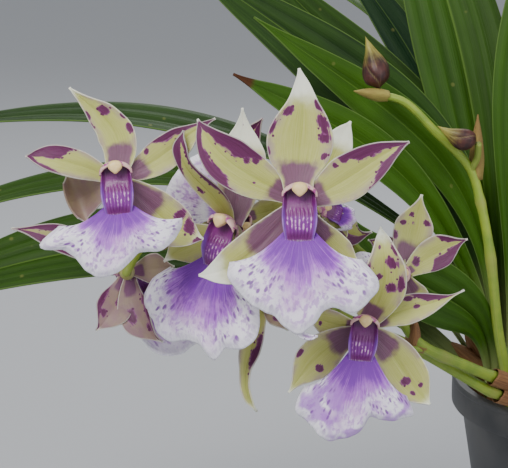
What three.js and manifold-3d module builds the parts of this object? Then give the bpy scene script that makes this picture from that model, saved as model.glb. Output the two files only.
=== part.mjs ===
// A potted zygonisia orchid: a plain plastic pot of bark, five pseudobulbs with arching pleated leaves,
// two flower spikes that lean out over the rim with nine open flowers, and a young spike with two buds.
// Millimetres, +Z up. The origin is the centre of the pot's base; the flowers face -Y.

import * as THREE from "three";
import { mergeVertices } from "three/addons/utils/BufferGeometryUtils.js";
import Module from "manifold-3d";

const wasm = await Module();
wasm.setup();

// Driving dimensions
const GAP = 0.35; // between pieces that touch
const BLADE = 0.8; // thickness of a leaf
const PETAL = 0.7; // thickness of a petal or sepal
const FACE_TILT_DEG = -12; // the flowers look up a little, to someone standing in front

const TIP_HALF = 0.4; // half width of a blade at its very point
const HUB = 3.4; // radius of the knob on which a flower's pieces stand

const POT = { rim: 72, foot: 52, height: 110, wall: 2.4, band: 12, bandOut: 2.2, floor: 3, edge: 1 };
const DRAIN = { count: 6, radius: 5, circle: 33 };
const STEM_ROOM = 1.2; // between a stem and the wall of its hole in the bark
const DRILL = 20; // length of the cylinders that cut round holes
const MEDIUM_TOP = 101;

// The chips in the top of the bark: how many, their least and extra length, width and thickness, and
// their tilt.
const CHIPS = { count: 26, long: [11, 6], wide: [7, 4], thick: [5, 2], tilt: 0.9, lift: 0.4, inset: 10 };
const GOLDEN_ANGLE = Math.PI * (3 - Math.sqrt(5));

// A leaf folds upwards from its middle, less towards the tip, and has one raised pleat on each side.
const FOLD = { foot: 0.34, less: 0.22 };
const PLEAT = 0.9;

// A leaf's half width along it, as shares of its largest: a narrow channelled base and a long point.
const LEAF_OUTLINE = [0.2, 0.3, 0.46, 0.7, 0.92, 1, 0.88, 0.52, 0.03];
// A petal's or sepal's: a short claw, widest at the middle, then a drawn-out point. The first flower's
// dorsal sepal has a longer claw and a more sudden point.
const PETAL_OUTLINE = [0.24, 0.5, 0.7, 0.89, 1, 0.98, 0.8, 0.44, 0.04];
const SPOON_OUTLINE = [0.24, 0.44, 0.5, 0.6, 0.8, 0.99, 0.9, 0.48, 0.04];

// A flower's middle, up and forward of its centre: the column's hood, the cap at its end, and the
// ribbed pad and the neck from which the lip hangs. Radii are to the right, up and forward.
const HOOD = { up: 1.2, forward: 5.4, radii: [5, 6, 4.2] };
const CAP = { up: 5, forward: 8.9, radii: [3, 2.5, 2.2] };
const PAD = { up: -9.8, forward: 5.2, radii: [4.9, 4.6, 3] };
const NECK = { up: -11.2, forward: 5, half: 4.4 };
const LIP = { spreadDeg: 150, bulge: 5, drawnBack: 5.4, ruffle: 0.9, ruffleTurn: 13 };
// A flower's own stalk: its radii where it leaves the spike and at the flower, and how far it runs
// straight.
const STALK = { foot: 1.2, top: 1.7, straight: 11 };

const COLOURS = {
  pot: { color: 0x24272a, roughness: 0.5 },
  bark: { color: 0x6b4329, roughness: 0.95 },
  bulb: { color: 0x6f8a3a, roughness: 0.55 },
  leaf: { color: 0x3d6b22, roughness: 0.45 },
  stem: { color: 0x8fa648, roughness: 0.5 },
  bud: { color: 0x4c2026, roughness: 0.5 },
  tepal: { color: 0xb9b873, roughness: 0.5 },
  lip: { color: 0xd9c6ee, roughness: 0.5 },
  column: { color: 0x8a2d7c, roughness: 0.4 },
};

// Pseudobulbs: centre on the bark, half width, half depth and full height. The first carries the spikes.
const BULBS = [
  { at: [-54, -18], wide: 9, deep: 11, tall: 36 },
  { at: [-38, 12], wide: 12, deep: 10, tall: 44 },
  { at: [10, -2], wide: 15, deep: 12, tall: 52 },
  { at: [38, 16], wide: 14, deep: 12, tall: 48 },
  { at: [22, -36], wide: 13, deep: 11, tall: 38 },
];
const BULB_SUNK = 7;

// Leaves: the pseudobulb each one grows from, its width, the way its face looks, and four points along
// its middle.
const FRONT = [0, -1, 0.3];
const SKY = [0, -0.25, 1];
const LEAVES = [
  [0, 32, FRONT, [-50, -20, 126], [-48, -15, 190], [-40, -2, 262], [-10, 22, 345]],
  [0, 38, FRONT, [-54, -12, 128], [-62, -8, 190], [-74, 12, 257], [-102, 42, 328]],
  [0, 30, FRONT, [-58, -16, 127], [-72, -14, 186], [-112, -8, 232], [-190, 10, 286]],
  [0, 18, FRONT, [-57, -21, 125], [-70, -24, 187], [-102, -27, 225], [-155, -22, 262]],
  [0, 17, FRONT, [-57, -27, 122], [-84, -33, 186], [-120, -34, 219], [-163, -32, 241]],
  [0, 25, FRONT, [-60, -30, 115], [-69, -39, 141], [-90, -47, 156], [-119, -50, 189]],
  [1, 24, SKY, [-42, 6, 134], [-110, -10, 186], [-190, -15, 219.5], [-300, -14, 213]],
  [1, 17, FRONT, [-44, 20, 130], [-63, 22, 185], [-88, 36, 240], [-130, 58, 292]],
  [0, 22, SKY, [-63, -15, 116], [-120, -27, 178], [-205, -33, 201], [-310, -40, 170]],
  [0, 38, [0, -0.6, 1], [-62, -24, 113.5], [-128, -40, 163], [-208, -50, 177], [-312, -60, 147]],
  [1, 26, FRONT, [-43, 14, 135], [-63, 5, 184], [-101, 11, 229], [-162, 28, 289]],
  [1, 32, [0.4, -0.8, 1], [-36, 18, 134], [-62, 58, 214], [-104, 104, 262], [-160, 150, 268]],
  [2, 34, [-0.6, -0.3, 1], [12, -6, 140], [30, -24, 225], [70, -50, 290], [135, -82, 318]],
  [2, 36, [-0.7, 0.1, 1], [16, 0, 139], [48, 4, 232], [105, 8, 292], [190, 12, 300]],
  [2, 34, [0.1, -1, 0.5], [8, 3, 140], [8, 22, 240], [4, 48, 322], [-14, 86, 376]],
  [3, 34, [-0.5, -0.3, 1], [44, 18, 134], [78, 36, 196], [135, 60, 232], [215, 86, 208]],
  [3, 32, [-0.3, -0.8, 1], [37, 25.2, 136], [46, 68, 215], [64, 112, 268], [88, 172, 275]],
  [3, 32, [-0.8, -0.5, 0.3], [38, 18, 138], [46, 40, 240], [62, 54, 325], [96, 60, 385]],
  [3, 34, [-0.5, 0.3, 1], [44, 10, 134], [90, -8, 180], [152, -34, 206], [228, -66, 182]],
];

// Tepals in the order dorsal sepal, right petal, left petal, right and left lateral sepal, seen from
// the front. Each row: tip to the right, up and forward of the flower's centre; how far a third and two
// thirds of the way stand forward; how far the middle bows clockwise; the width; the cupping; the turn
// about its own line, in degrees.
const PLAIN_TEPALS = [
  [1, 38, 1, -1.5, -1, 0, 18, 0.12, 0],
  [31, 20, 1, -1, 0, -1, 15, 0.1, 8],
  [-31, 20, 1, -1, 0, 1, 15, 0.1, -8],
  [28, -22, -3, -1, -2, -1, 14, 0.1, 0],
  [-28, -22, -3, -1, -2, 1, 14, 0.1, 0],
];

// The same tepals on a smaller flower: the first seven numbers of a row are lengths.
const smaller = (rows, share) => rows.map((row) => row.map((n, i) => (i < 7 ? n * share : n)));

// Flowers: centre, turn (right, down, clockwise) of the whole flower, and of its lip and column alone;
// tepals; lengths of the lip's rays at nine equal steps, from left to right; size as a share of the
// first flower's. Those at the front have an anther cap and are more finely divided.
const PLAIN_LIP = [18, 25, 26, 26, 28, 26, 26, 25, 18];
const FLOWERS = [
  {
    at: [-140, -133, 210],
    turn: [0, 0, 0],
    lipTurn: [0, 0, 0],
    tepals: [
      [1, 44, 2, -2, -1.5, 0, 21.5, 0.12, 0],
      [36.5, 18.5, 2, -1, 1, -0.5, 14.5, 0.1, 8],
      [-33.5, 26, 2, -1, 1, 1, 16, 0.1, -8],
      [30, -27, -5, -1.5, -3, -2, 14, 0.08, 0],
      [-33.5, -24, -1, -1, -1, 3, 13, 0.08, 0],
    ],
    lip: [24, 26.5, 26, 25.5, 29.7, 26, 25.5, 30.5, 23],
    size: 1,
    front: true,
  },
  {
    at: [-201, -126, 217.5],
    turn: [0, 0, 0],
    lipTurn: [0, 0, 3],
    tepals: [
      [-16.5, 30.5, 3, -2, -2, 5, 14, 0.12, 0],
      [32, 20, -4, -1, 2, -5, 12, 0.12, -20],
      [-32.5, 8, 0, 0, 2, 4, 11, 0.12, 25],
      [27, -21.5, -4, -1, -2, -3, 16, 0.08, 0],
      [-21, 1.5, -8, -3, -6, -5, 15, 0.1, 0],
    ],
    lip: [28.5, 25, 20.5, 22.8, 24, 21.5, 21.5, 25.5, 24],
    size: 0.93,
    front: true,
  },
  {
    at: [-163.5, -112, 198],
    turn: [0, 0, 0],
    lipTurn: [-36, 0, 32],
    tepals: [
      [4.5, 41, -3, -3, -4, 1, 17, 0.1, 0],
      [11.5, 38, -13, -6, -10, -4, 12, 0.1, 0],
      [-17.5, 31, 2, -2, 0, -2, 14, 0.1, -62],
      [4, -20, -6, -2, -3, 3, 13, 0.1, 0],
      [-23.5, -12.5, -18, 0, 0, 2, 13, 0.1, 0],
    ],
    lip: [12, 18, 26, 30, 31, 31, 31, 31, 26],
    size: 1,
    front: true,
  },
  {
    at: [-116, -120, 165],
    turn: [0, 0, 0],
    lipTurn: [0, 8, 0],
    tepals: [
      [4.8, 30.5, 3, 3, 8, 4, 15.5, 0.2, 0],
      [35, 13, 0, 0, 0, -1, 11.5, 0.12, -15],
      [-28, 8, -3, -1, -2, -1, 11.5, 0.1, 0],
      [23, -27, -3, -1, -2, -4, 16, 0.1, 0],
      [-25.5, -22.5, -3, -1, -2, 3, 14.5, 0.1, 0],
    ],
    lip: [12, 26.8, 29.7, 31.1, 24, 22, 27.5, 15.5, 9],
    size: 0.92,
    front: true,
  },
  {
    at: [-102.4, -106, 177],
    turn: [0, 0, 0],
    lipTurn: [-25, 0, 75],
    tepals: [
      [7, 28.5, -1, -2, -2, 0, 14.5, 0.1, 0],
      [25, 14.4, 0, -1, -1, -1, 12, 0.1, 10],
      [-12, 12, -8, -1, -2, 2, 10, 0.1, 0],
      [9, -14, -2, -1, -2, 1, 10, 0.1, 0],
      [-12, -8, -9, -1, -2, -1, 10, 0.1, 0],
    ],
    lip: PLAIN_LIP,
    size: 0.55,
  },
  {
    at: [-131, -96, 201],
    turn: [0, 0, 0],
    lipTurn: [30, 5, -70],
    tepals: [
      [9, 31, -2, -3, -3, -2, 12, 0.1, 0],
      [18, -7, -10, -1, -2, 0, 10, 0.1, 0],
      [-13, 16, -7, -3, -5, 2, 11, 0.1, 0],
      [8, -16, -9, -1, -2, 0, 10, 0.1, 0],
      [-8, -17, -6, -2, -4, 0, 10, 0.1, 0],
    ],
    lip: [13, 15, 16, 17, 17, 17, 16, 15, 13],
    size: 0.6,
  },
  {
    at: [-161, -84, 194.5],
    turn: [10, 5, 128],
    lipTurn: [0, 0, 0],
    tepals: smaller(PLAIN_TEPALS, 0.64),
    lip: PLAIN_LIP,
    size: 0.64,
  },
  {
    at: [-200.5, -92, 177],
    turn: [0, 0, 0],
    lipTurn: [182, 0, 36],
    tepals: [
      [-12, 13, 0, -1, -1, 2, 11, 0.1, 0],
      [-41.5, 15.5, 2, 1, 3, 3, 10, 0.15, 20],
      [17, 2, 0, 0, 0, 0, 11, 0.1, 0],
      [13, -25, 4, 1, 3, 4, 12, 0.2, 30],
      [-11, -21, 3, 0, 2, -2, 13, 0.1, 0],
    ],
    lip: [20, 24, 28, 31, 31, 28, 20, 12, 7],
    size: 0.85,
  },
  {
    at: [-152, -98, 170],
    turn: [0, 0, 0],
    lipTurn: [0, 0, -176],
    tepals: [
      [2.5, -39, 4, 2, 4, 3, 7.5, 0.25, 25],
      [-15, -4, -5, -1, -2, 0, 10, 0.1, 0],
      [12, -10, 3, 0, 2, 0, 8, 0.1, 0],
      [-9, 11, -4, -1, -1, 0, 9, 0.1, 0],
      [14, 8, -5, -1, -2, 0, 9, 0.1, 0],
    ],
    lip: PLAIN_LIP,
    size: 0.6,
  },
];

// The flower spikes: the way each runs, its radius at the foot and the top, and its flower stalks: the
// flower, how far along the spike the stalk leaves, and how far its middle drops below the straight way
// there.
const SPIKES = [
  {
    line: [
      [-43, -31, 96], [-43, -31.5, 108], [-52, -49, 124.5], [-74, -76, 138], [-97, -95, 150],
      [-104, -92, 164], [-112, -86, 178], [-122, -81, 187],
    ],
    foot: 2.5,
    top: 1.5,
    stalks: [[3, 0.66, 3], [4, 0.8, 2], [5, 0.97, 2]],
  },
  {
    line: [
      [-46, -39, 96], [-46, -39, 106], [-52, -47, 117.5], [-67, -64, 126], [-99, -82, 143],
      [-128, -81, 160], [-155, -71, 173.5], [-180, -70, 181], [-193, -73, 183],
    ],
    foot: 2.5,
    top: 1.3,
    stalks: [
      [0, 0.61, 3], [8, 0.7, 0], [2, 0.76, 4], [6, 0.83, 0], [7, 0.97, -6], [1, 0.98, 3],
    ],
  },
];
const BUD_SPIKE = {
  line: [
    [-52, -34, 96], [-52.5, -34, 109], [-59, -38.5, 140], [-64, -43, 174], [-69, -43, 206],
    [-84, -45, 221], [-98, -46, 232], [-107, -46, 235],
  ],
  foot: 2.2,
  top: 1.5,
};
// Buds: foot, tip and half width.
const BUDS = [
  { foot: [-106.5, -45.5, 236.8], tip: [-113, -41, 256.5], half: 4.8 },
  { foot: [-71, -48.7, 210.5], tip: [-88.5, -51.7, 217.5], half: 4.2 },
];
// Bracts, the dry papery scales at a spike's joints: the spike, foot, tip and half width.
const BRACTS = [
  { spike: 2, foot: [-69, -42, 203], tip: [-66.5, -40, 226], half: 2.9 },
  { spike: 2, foot: [-104, -46, 234.5], tip: [-117.5, -48, 236.5], half: 2.1 },
  { spike: 0, foot: [-98, -95, 150], tip: [-97, -97, 161], half: 2.7 },
];

const vec = ([x, y, z]) => new THREE.Vector3(x, y, z);

// A smooth value between those of a list at equal steps, x from 0 to 1.
function along(list, x) {
  const last = list.length - 1;
  const i = Math.min(Math.floor(x * last), last - 1);
  const t = x * last - i;
  const at = (n) => list[Math.max(0, Math.min(last, n))];
  const [a, b, c, d] = [at(i - 1), at(i), at(i + 1), at(i + 2)];
  return b + 0.5 * t * (c - a + t * (2 * a - 5 * b + 4 * c - d + t * (3 * (b - c) + d - a)));
}

// The cubic that passes through four points at equal steps.
function throughFour(points) {
  const share = (shares) => (sum, p, i) => sum.addScaledVector(p, shares[i] / 6);
  const mix = (shares) => points.reduce(share(shares), new THREE.Vector3());
  return new THREE.CubicBezierCurve3(points[0], mix([-5, 18, -9, 2]), mix([2, -9, 18, -5]), points[3]);
}

// A closed sheet of even thickness. place(u, v) is its middle, with u across from -1 to 1 and v along
// from 0 to 1. Both faces are split into triangles alike, so that a waved sheet never crosses itself.
function sheet(place, across, rows, thickness) {
  const grid = new THREE.PlaneGeometry(2, 1, across, rows);
  const spots = grid.getAttribute("position");
  const count = spots.count;
  const points = new Float32Array(count * 6);
  const step = 0.01;
  for (let i = 0; i < count; i++) {
    const u = spots.getX(i);
    const v = spots.getY(i) + 0.5;
    const [ua, ub] = [Math.max(u - step, -1), Math.min(u + step, 1)];
    const [va, vb] = [Math.max(v - step, 0), Math.min(v + step, 1)];
    const acrossWay = place(ub, v).sub(place(ua, v));
    const alongWay = place(u, vb).sub(place(u, va));
    const out = acrossWay.cross(alongWay).normalize().multiplyScalar(thickness / 2);
    const middle = place(u, v);
    middle.clone().add(out).toArray(points, i * 3);
    middle.clone().sub(out).toArray(points, (count + i) * 3);
  }
  const front = Array.from(grid.index.array);
  const faces = [...front];
  const edges = new Map();
  for (let i = 0; i < front.length; i += 3) {
    const [a, b, c] = front.slice(i, i + 3);
    faces.push(count + a, count + c, count + b);
    [[a, b], [b, c], [c, a]].forEach(([p, q]) => edges.set(`${p} ${q}`, [p, q]));
  }
  for (const [p, q] of edges.values()) {
    if (!edges.has(`${q} ${p}`)) faces.push(q, p, count + p, q, count + p, count + q);
  }
  const made = new THREE.BufferGeometry().setAttribute("position", new THREE.BufferAttribute(points, 3));
  return made.setIndex(faces);
}

// A blade along a curve: half width from an outline, the face turned towards faces, and cross(s, t,
// half) the height of its cross-section above the middle line, s along from 0 to 1 and t across from -1
// to 1.
function blade({ line, outline, width, faces, turn = 0, cross, across, rows, thickness }) {
  const curve = throughFour(line);
  const facing = faces.clone().normalize();
  const place = (t, s) => {
    const way = curve.getTangent(s);
    const up = facing.clone().addScaledVector(way, -facing.dot(way)).normalize();
    up.applyAxisAngle(way, THREE.MathUtils.degToRad(turn) * s);
    const side = way.clone().cross(up);
    const half = Math.max((width / 2) * along(outline, s), TIP_HALF);
    return curve.getPoint(s).addScaledVector(side, half * t).addScaledVector(up, cross(s, t, half));
  };
  return sheet(place, across, rows, thickness);
}

// A round stem along a smooth line through points, tapering from one radius to another.
function stem(points, foot, top, sides, rows) {
  const path = new THREE.CatmullRomCurve3(points, false, "centripetal");
  const circle = new THREE.EllipseCurve(0, 0, 1, 1, 0, Math.PI * 2).getPoints(sides);
  const round = new THREE.Shape(circle.slice(0, sides));
  const tube = new THREE.ExtrudeGeometry(round, { steps: rows, extrudePath: path, bevelEnabled: false });
  const spots = tube.getAttribute("position");
  const centres = path.getSpacedPoints(rows);
  for (let i = 0; i < spots.count; i++) {
    const p = new THREE.Vector3().fromBufferAttribute(spots, i);
    let nearest = 0;
    centres.forEach((c, n) => {
      if (c.distanceTo(p) < centres[nearest].distanceTo(p)) nearest = n;
    });
    const radius = THREE.MathUtils.lerp(foot, top, nearest / rows);
    const c = centres[nearest];
    spots.setXYZ(i, ...p.sub(c).multiplyScalar(radius).add(c).toArray());
  }
  return tube;
}

// A ball stretched along X, Y and Z.
function egg(centre, radii, sides = 12, rings = 8) {
  const ball = new THREE.SphereGeometry(1, sides, rings);
  return ball.rotateX(Math.PI / 2).scale(...radii).translate(...centre);
}

// A pointed scale or bud, turned about the way from its foot to its tip.
function pod(foot, tip, profile, sides) {
  const way = tip.clone().sub(foot);
  const length = way.length();
  const turned = new THREE.LatheGeometry(profile.map(([r, y]) => new THREE.Vector2(r, y * length)), sides);
  const pose = new THREE.Quaternion().setFromUnitVectors(new THREE.Vector3(0, 1, 0), way.normalize());
  return turned.applyQuaternion(pose).translate(foot.x, foot.y, foot.z);
}

// Solids, joined and cut
function solid(geometry) {
  const bare = new THREE.BufferGeometry();
  bare.setAttribute("position", geometry.getAttribute("position").clone());
  if (geometry.index) bare.setIndex(geometry.index.clone());
  const merged = mergeVertices(bare, 1e-3);
  return new wasm.Manifold(
    new wasm.Mesh({
      numProp: 3,
      vertProperties: new Float32Array(merged.getAttribute("position").array),
      triVerts: new Uint32Array(merged.index.array),
    }),
  );
}

const joined = (solids) => solids.reduce((whole, next) => whole.add(next));

// The largest single body of a solid, so that no loose scrap of a cut stays.
const mainBody = (whole) => whole.decompose().sort((a, b) => b.volume() - a.volume())[0];

function geometryOf(whole) {
  const mesh = whole.getMesh();
  const points = new Float32Array(mesh.numVert * 3);
  for (let i = 0; i < mesh.numVert; i++) {
    points.set(mesh.vertProperties.subarray(i * mesh.numProp, i * mesh.numProp + 3), i * 3);
  }
  const made = new THREE.BufferGeometry().setAttribute("position", new THREE.BufferAttribute(points, 3));
  made.setIndex(new THREE.BufferAttribute(mesh.triVerts, 1));
  made.computeVertexNormals();
  return made;
}

const plant = new THREE.Group();

function add(name, geometry, colour) {
  const material = new THREE.MeshStandardMaterial({ ...COLOURS[colour], metalness: 0 });
  const mesh = new THREE.Mesh(geometry, material);
  mesh.name = name;
  plant.add(mesh);
}

// The outer radius of the pot's tapered wall at a height.
const outerAt = (z) => POT.foot + ((POT.rim - POT.bandOut - POT.foot) * z) / POT.height;

// An upright cylinder that cuts a round hole.
function drill(radius, x, y, z) {
  const hole = new THREE.CylinderGeometry(radius, radius, DRILL, 8).rotateX(Math.PI / 2);
  return solid(hole.translate(x, y, z));
}

// The pot: a tapered cup with a band round its rim and drain holes in its floor.
function pot() {
  const { height, wall, foot, rim, band, floor, edge } = POT;
  const profile = [
    [0, 0],
    [foot - edge, 0],
    [foot, edge],
    [outerAt(height - band), height - band],
    [rim, height - band + edge],
    [rim, height - edge],
    [rim - edge, height],
    [outerAt(height) - wall, height],
    [outerAt(floor) - wall, floor],
    [0, floor],
  ];
  const cup = new THREE.LatheGeometry(profile.map(([r, z]) => new THREE.Vector2(r, z)), 32);
  cup.rotateX(Math.PI / 2);
  const holes = Array.from({ length: DRAIN.count }, (_, i) => {
    const angle = (i / DRAIN.count) * Math.PI * 2;
    return drill(DRAIN.radius, Math.cos(angle) * DRAIN.circle, Math.sin(angle) * DRAIN.circle, 0);
  });
  return solid(cup).subtract(joined(holes));
}

// Random numbers that are the same each time.
function seeded(seed) {
  let state = seed;
  return () => {
    state = (state * 16807) % 2147483647;
    return state / 2147483647;
  };
}

function bulb({ at: [x, y], wide, deep, tall }, more = 0) {
  const centre = [x, y, MEDIUM_TOP - BULB_SUNK + tall / 2];
  return solid(egg(centre, [wide + more, deep + more, tall / 2 + more], 10, 7));
}

// A plain round hole for a stem that stands in the bark, down to just below its foot.
function stemHole({ line: [[x, y, z]], foot }) {
  return drill(foot + STEM_ROOM, x, y, z - GAP + DRILL / 2);
}

// The bark that fills the pot: a plug with chips bedded in its top, and holes for what stands in it.
function bark(holes) {
  const radiusAt = (z) => outerAt(z) - POT.wall - GAP;
  const low = POT.floor + GAP;
  const plug = new THREE.CylinderGeometry(radiusAt(MEDIUM_TOP), radiusAt(low), MEDIUM_TOP - low, 36);
  plug.rotateX(Math.PI / 2).translate(0, 0, (MEDIUM_TOP + low) / 2);
  const random = seeded(11);
  const { count, long, wide, thick, tilt, lift, inset } = CHIPS;
  const chips = Array.from({ length: count }, (_, i) => {
    const out = Math.sqrt((i + 0.5) / count) * (radiusAt(MEDIUM_TOP) - inset);
    const angle = i * GOLDEN_ANGLE;
    const sides = [long, wide, thick].map(([least, more]) => least + more * random());
    const chip = new THREE.BoxGeometry(...sides);
    chip.rotateX((random() - 0.5) * tilt).rotateY((random() - 0.5) * tilt).rotateZ(random() * Math.PI);
    return solid(chip.translate(Math.cos(angle) * out, Math.sin(angle) * out, MEDIUM_TOP + lift));
  });
  return mainBody(joined([solid(plug), ...chips]).subtract(joined(holes)));
}

function leaf([, width, faces, ...line]) {
  return blade({
    line: line.map(vec),
    outline: LEAF_OUTLINE,
    width,
    faces: vec(faces),
    cross: (s, t, half) => {
      const fold = half * (FOLD.foot - FOLD.less * s) * Math.abs(t);
      return fold + PLEAT * Math.sin(Math.PI * Math.abs(t)) * (1 - s);
    },
    across: 4,
    rows: 6,
    thickness: BLADE,
  });
}

// Turns a point given as right, up and forward of a flower's centre into the plant's frame.
function flowerFrame(flower, turns) {
  const pose = new THREE.Matrix4().makeTranslation(...flower.at);
  const tilt = new THREE.Matrix4().makeRotationX(THREE.MathUtils.degToRad(FACE_TILT_DEG));
  pose.multiply(tilt);
  turns.forEach(([yaw, nod, roll]) => {
    const [z, x, y] = [yaw, nod, roll].map(THREE.MathUtils.degToRad);
    pose.multiply(new THREE.Matrix4().makeRotationZ(z));
    pose.multiply(new THREE.Matrix4().makeRotationX(x));
    pose.multiply(new THREE.Matrix4().makeRotationY(y));
  });
  pose.scale(new THREE.Vector3(flower.size, flower.size, flower.size));
  return (right, up, forward) => new THREE.Vector3(right, -forward, up).applyMatrix4(pose);
}

// A flower's five tepals, which start inside its knob. Their sizes are millimetres on every flower.
function tepals(flower) {
  const at = flowerFrame({ ...flower, size: 1 }, [flower.turn]);
  const knob = HUB * flower.size;
  const centre = at(0, 0, 0);
  const faces = at(0, 0, 1).sub(centre);
  const blades = flower.tepals.map((row, index) => {
    const [right, up, forward, third, twoThirds, bow, width, cup, turn] = row;
    const reach = Math.hypot(right, up);
    const [r, u] = [right / reach, up / reach];
    const start = 0.85 * knob;
    const step = (share, bulge) => {
      const out = start + (reach - start) * share;
      const aside = bow * Math.sin(Math.PI * share);
      return at(r * out + u * aside, u * out - r * aside, forward * share + bulge);
    };
    return solid(
      blade({
        line: [step(0, 0), step(1 / 3, third), step(2 / 3, twoThirds), step(1, 0)],
        outline: index === 0 && flower === FLOWERS[0] ? SPOON_OUTLINE : PETAL_OUTLINE,
        width,
        faces,
        turn,
        cross: (s, t, half) => cup * half * 1.6 * t * t * (0.4 + s),
        across: flower.front ? 4 : 2,
        rows: flower.front ? 5 : 4,
        thickness: PETAL,
      }),
    );
  });
  return joined([solid(egg(centre.toArray(), [knob, knob, knob], 6, 4)), ...blades]);
}

// An egg in a flower's own frame.
function flowerEgg(at, { up, forward, radii }, sides, rings) {
  const ball = egg([0, 0, 0], radii, sides, rings);
  const spots = ball.getAttribute("position");
  for (let i = 0; i < spots.count; i++) {
    const p = at(spots.getX(i), up + spots.getY(i), forward + spots.getZ(i));
    spots.setXYZ(i, ...p.toArray());
  }
  return solid(ball);
}

// What a column or lip is hollowed by, to stand clear of its flower's knob.
function knobHole(flower) {
  const radius = HUB * flower.size + GAP;
  return solid(egg(flower.at, [radius, radius, radius], 6, 4));
}

// The column: a short thick hood over the flower's mouth, with the anther cap at its end.
function column(flower) {
  const at = flowerFrame(flower, [flower.turn, flower.lipTurn]);
  const parts = [flowerEgg(at, HOOD, 8, 6)];
  if (flower.front) parts.push(flowerEgg(at, CAP, 6, 4));
  return mainBody(joined(parts).subtract(knobHole(flower)));
}

// The lip: a ribbed pad under the column, and a broad waved fan that hangs from it.
function lip(flower) {
  const at = flowerFrame(flower, [flower.turn, flower.lipTurn]);
  const fan = (u, v) => {
    const angle = THREE.MathUtils.degToRad(LIP.spreadDeg / 2) * u;
    const ray = along(flower.lip, (u + 1) / 2);
    const right = NECK.half * u * (1 - v) + Math.sin(angle) * ray * v;
    const down = Math.cos(angle) * ray * v;
    const wave = LIP.ruffle * Math.sin(u * LIP.ruffleTurn + 0.6) * v * v;
    const arched = LIP.bulge * Math.sin(v * 2.2) - LIP.drawnBack * v * u * u;
    return at(right, NECK.up - down, NECK.forward + arched + wave);
  };
  const skirt = solid(sheet(fan, 8, flower.front ? 5 : 3, PETAL));
  return mainBody(joined([flowerEgg(at, PAD, 8, 5), skirt]).subtract(knobHole(flower)));
}

// A spike: a stem with its flower stalks, which end just behind each flower's knob.
function spike({ line, foot, top, stalks = [] }, index) {
  const points = line.map(vec);
  const path = new THREE.CatmullRomCurve3(points, false, "centripetal");
  const parts = [solid(stem(points, foot, top, 6, 2 * line.length))];
  stalks.forEach(([number, share, drop]) => {
    const flower = FLOWERS[number];
    const facesAway = Math.abs(flower.lipTurn[0]) > 90;
    const at = flowerFrame(flower, facesAway ? [flower.turn, flower.lipTurn] : [flower.turn]);
    const end = at(0, 0, -HUB - GAP / flower.size);
    const behind = at(0, 0, -STALK.straight);
    const start = path.getPointAt(share);
    const middle = start.clone().lerp(behind, 0.5).add(new THREE.Vector3(0, 0, -drop));
    parts.push(solid(stem([start, middle, behind, end], STALK.foot, STALK.top, 6, 5)));
  });
  BRACTS.filter((b) => b.spike === index).forEach(({ foot: low, tip, half }) => {
    const profile = [[0, -0.06], [half, 0.12], [half * 0.75, 0.5], [0, 1]];
    parts.push(solid(pod(vec(low), vec(tip), profile, 6)));
  });
  return joined(parts);
}

const stems = [...SPIKES, BUD_SPIKE];
const bulbHoles = BULBS.map((b) => bulb(b, GAP));
const bulbHole = joined(bulbHoles);

add("pot", geometryOf(pot()), "pot");
add("bark_medium", geometryOf(bark([...bulbHoles, ...stems.map(stemHole)])), "bark");
BULBS.forEach((b, i) => add(`pseudobulb_${i + 1}`, geometryOf(bulb(b)), "bulb"));
LEAVES.forEach((row, i) => {
  const name = `leaf_${String(i + 1).padStart(2, "0")}`;
  add(name, geometryOf(mainBody(solid(leaf(row)).subtract(bulbHoles[row[0]]))), "leaf");
});
["flower_spike_1", "flower_spike_2", "bud_spike"].forEach((name, i) => {
  add(name, geometryOf(mainBody(spike(stems[i], i).subtract(bulbHole))), "stem");
});
BUDS.forEach(({ foot, tip, half }, i) => {
  const profile = [[0, 0], [half * 0.7, 0.08], [half, 0.3], [half * 0.8, 0.58], [half * 0.3, 0.85], [0, 1]];
  add(`bud_${i + 1}`, pod(vec(foot), vec(tip), profile, 10), "bud");
});
FLOWERS.forEach((flower, i) => {
  add(`flower_${i + 1}_tepals`, geometryOf(tepals(flower)), "tepal");
  add(`flower_${i + 1}_lip`, geometryOf(lip(flower)), "lip");
  add(`flower_${i + 1}_column`, geometryOf(column(flower)), "column");
});

export default plant;
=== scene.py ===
"""A potted orchid in bloom: nine spotted flowers on two leaning spikes, a young spike with two buds,
pleated leaves on pseudobulbs, and a plain plastic pot of bark. Lengths in the tables are millimetres."""

import functools
import math
import random

import bmesh
import bpy
from mathutils import Matrix, Quaternion, Vector, noise


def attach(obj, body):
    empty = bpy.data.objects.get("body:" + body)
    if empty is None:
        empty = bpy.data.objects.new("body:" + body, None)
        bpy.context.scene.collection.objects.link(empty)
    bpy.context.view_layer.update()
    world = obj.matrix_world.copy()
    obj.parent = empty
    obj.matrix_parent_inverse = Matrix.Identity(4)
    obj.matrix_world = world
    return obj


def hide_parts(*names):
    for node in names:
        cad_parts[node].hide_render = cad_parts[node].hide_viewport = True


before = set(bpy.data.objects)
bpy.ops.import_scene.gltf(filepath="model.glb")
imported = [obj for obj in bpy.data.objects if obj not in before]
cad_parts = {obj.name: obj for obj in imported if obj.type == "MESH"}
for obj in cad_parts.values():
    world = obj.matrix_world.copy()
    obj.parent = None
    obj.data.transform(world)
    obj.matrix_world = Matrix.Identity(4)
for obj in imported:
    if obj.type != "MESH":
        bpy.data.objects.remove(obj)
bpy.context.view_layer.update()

bl_info = {
    "name": "Potted orchid",
    "version": (1, 0, 0),
    "blender": (4, 5, 0),
    "location": "3D View > Sidebar > Orchid",
    "description": "Dresses a potted orchid in fine petals, leaves, bark and a pot",
    "category": "Add Mesh",
}

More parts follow.
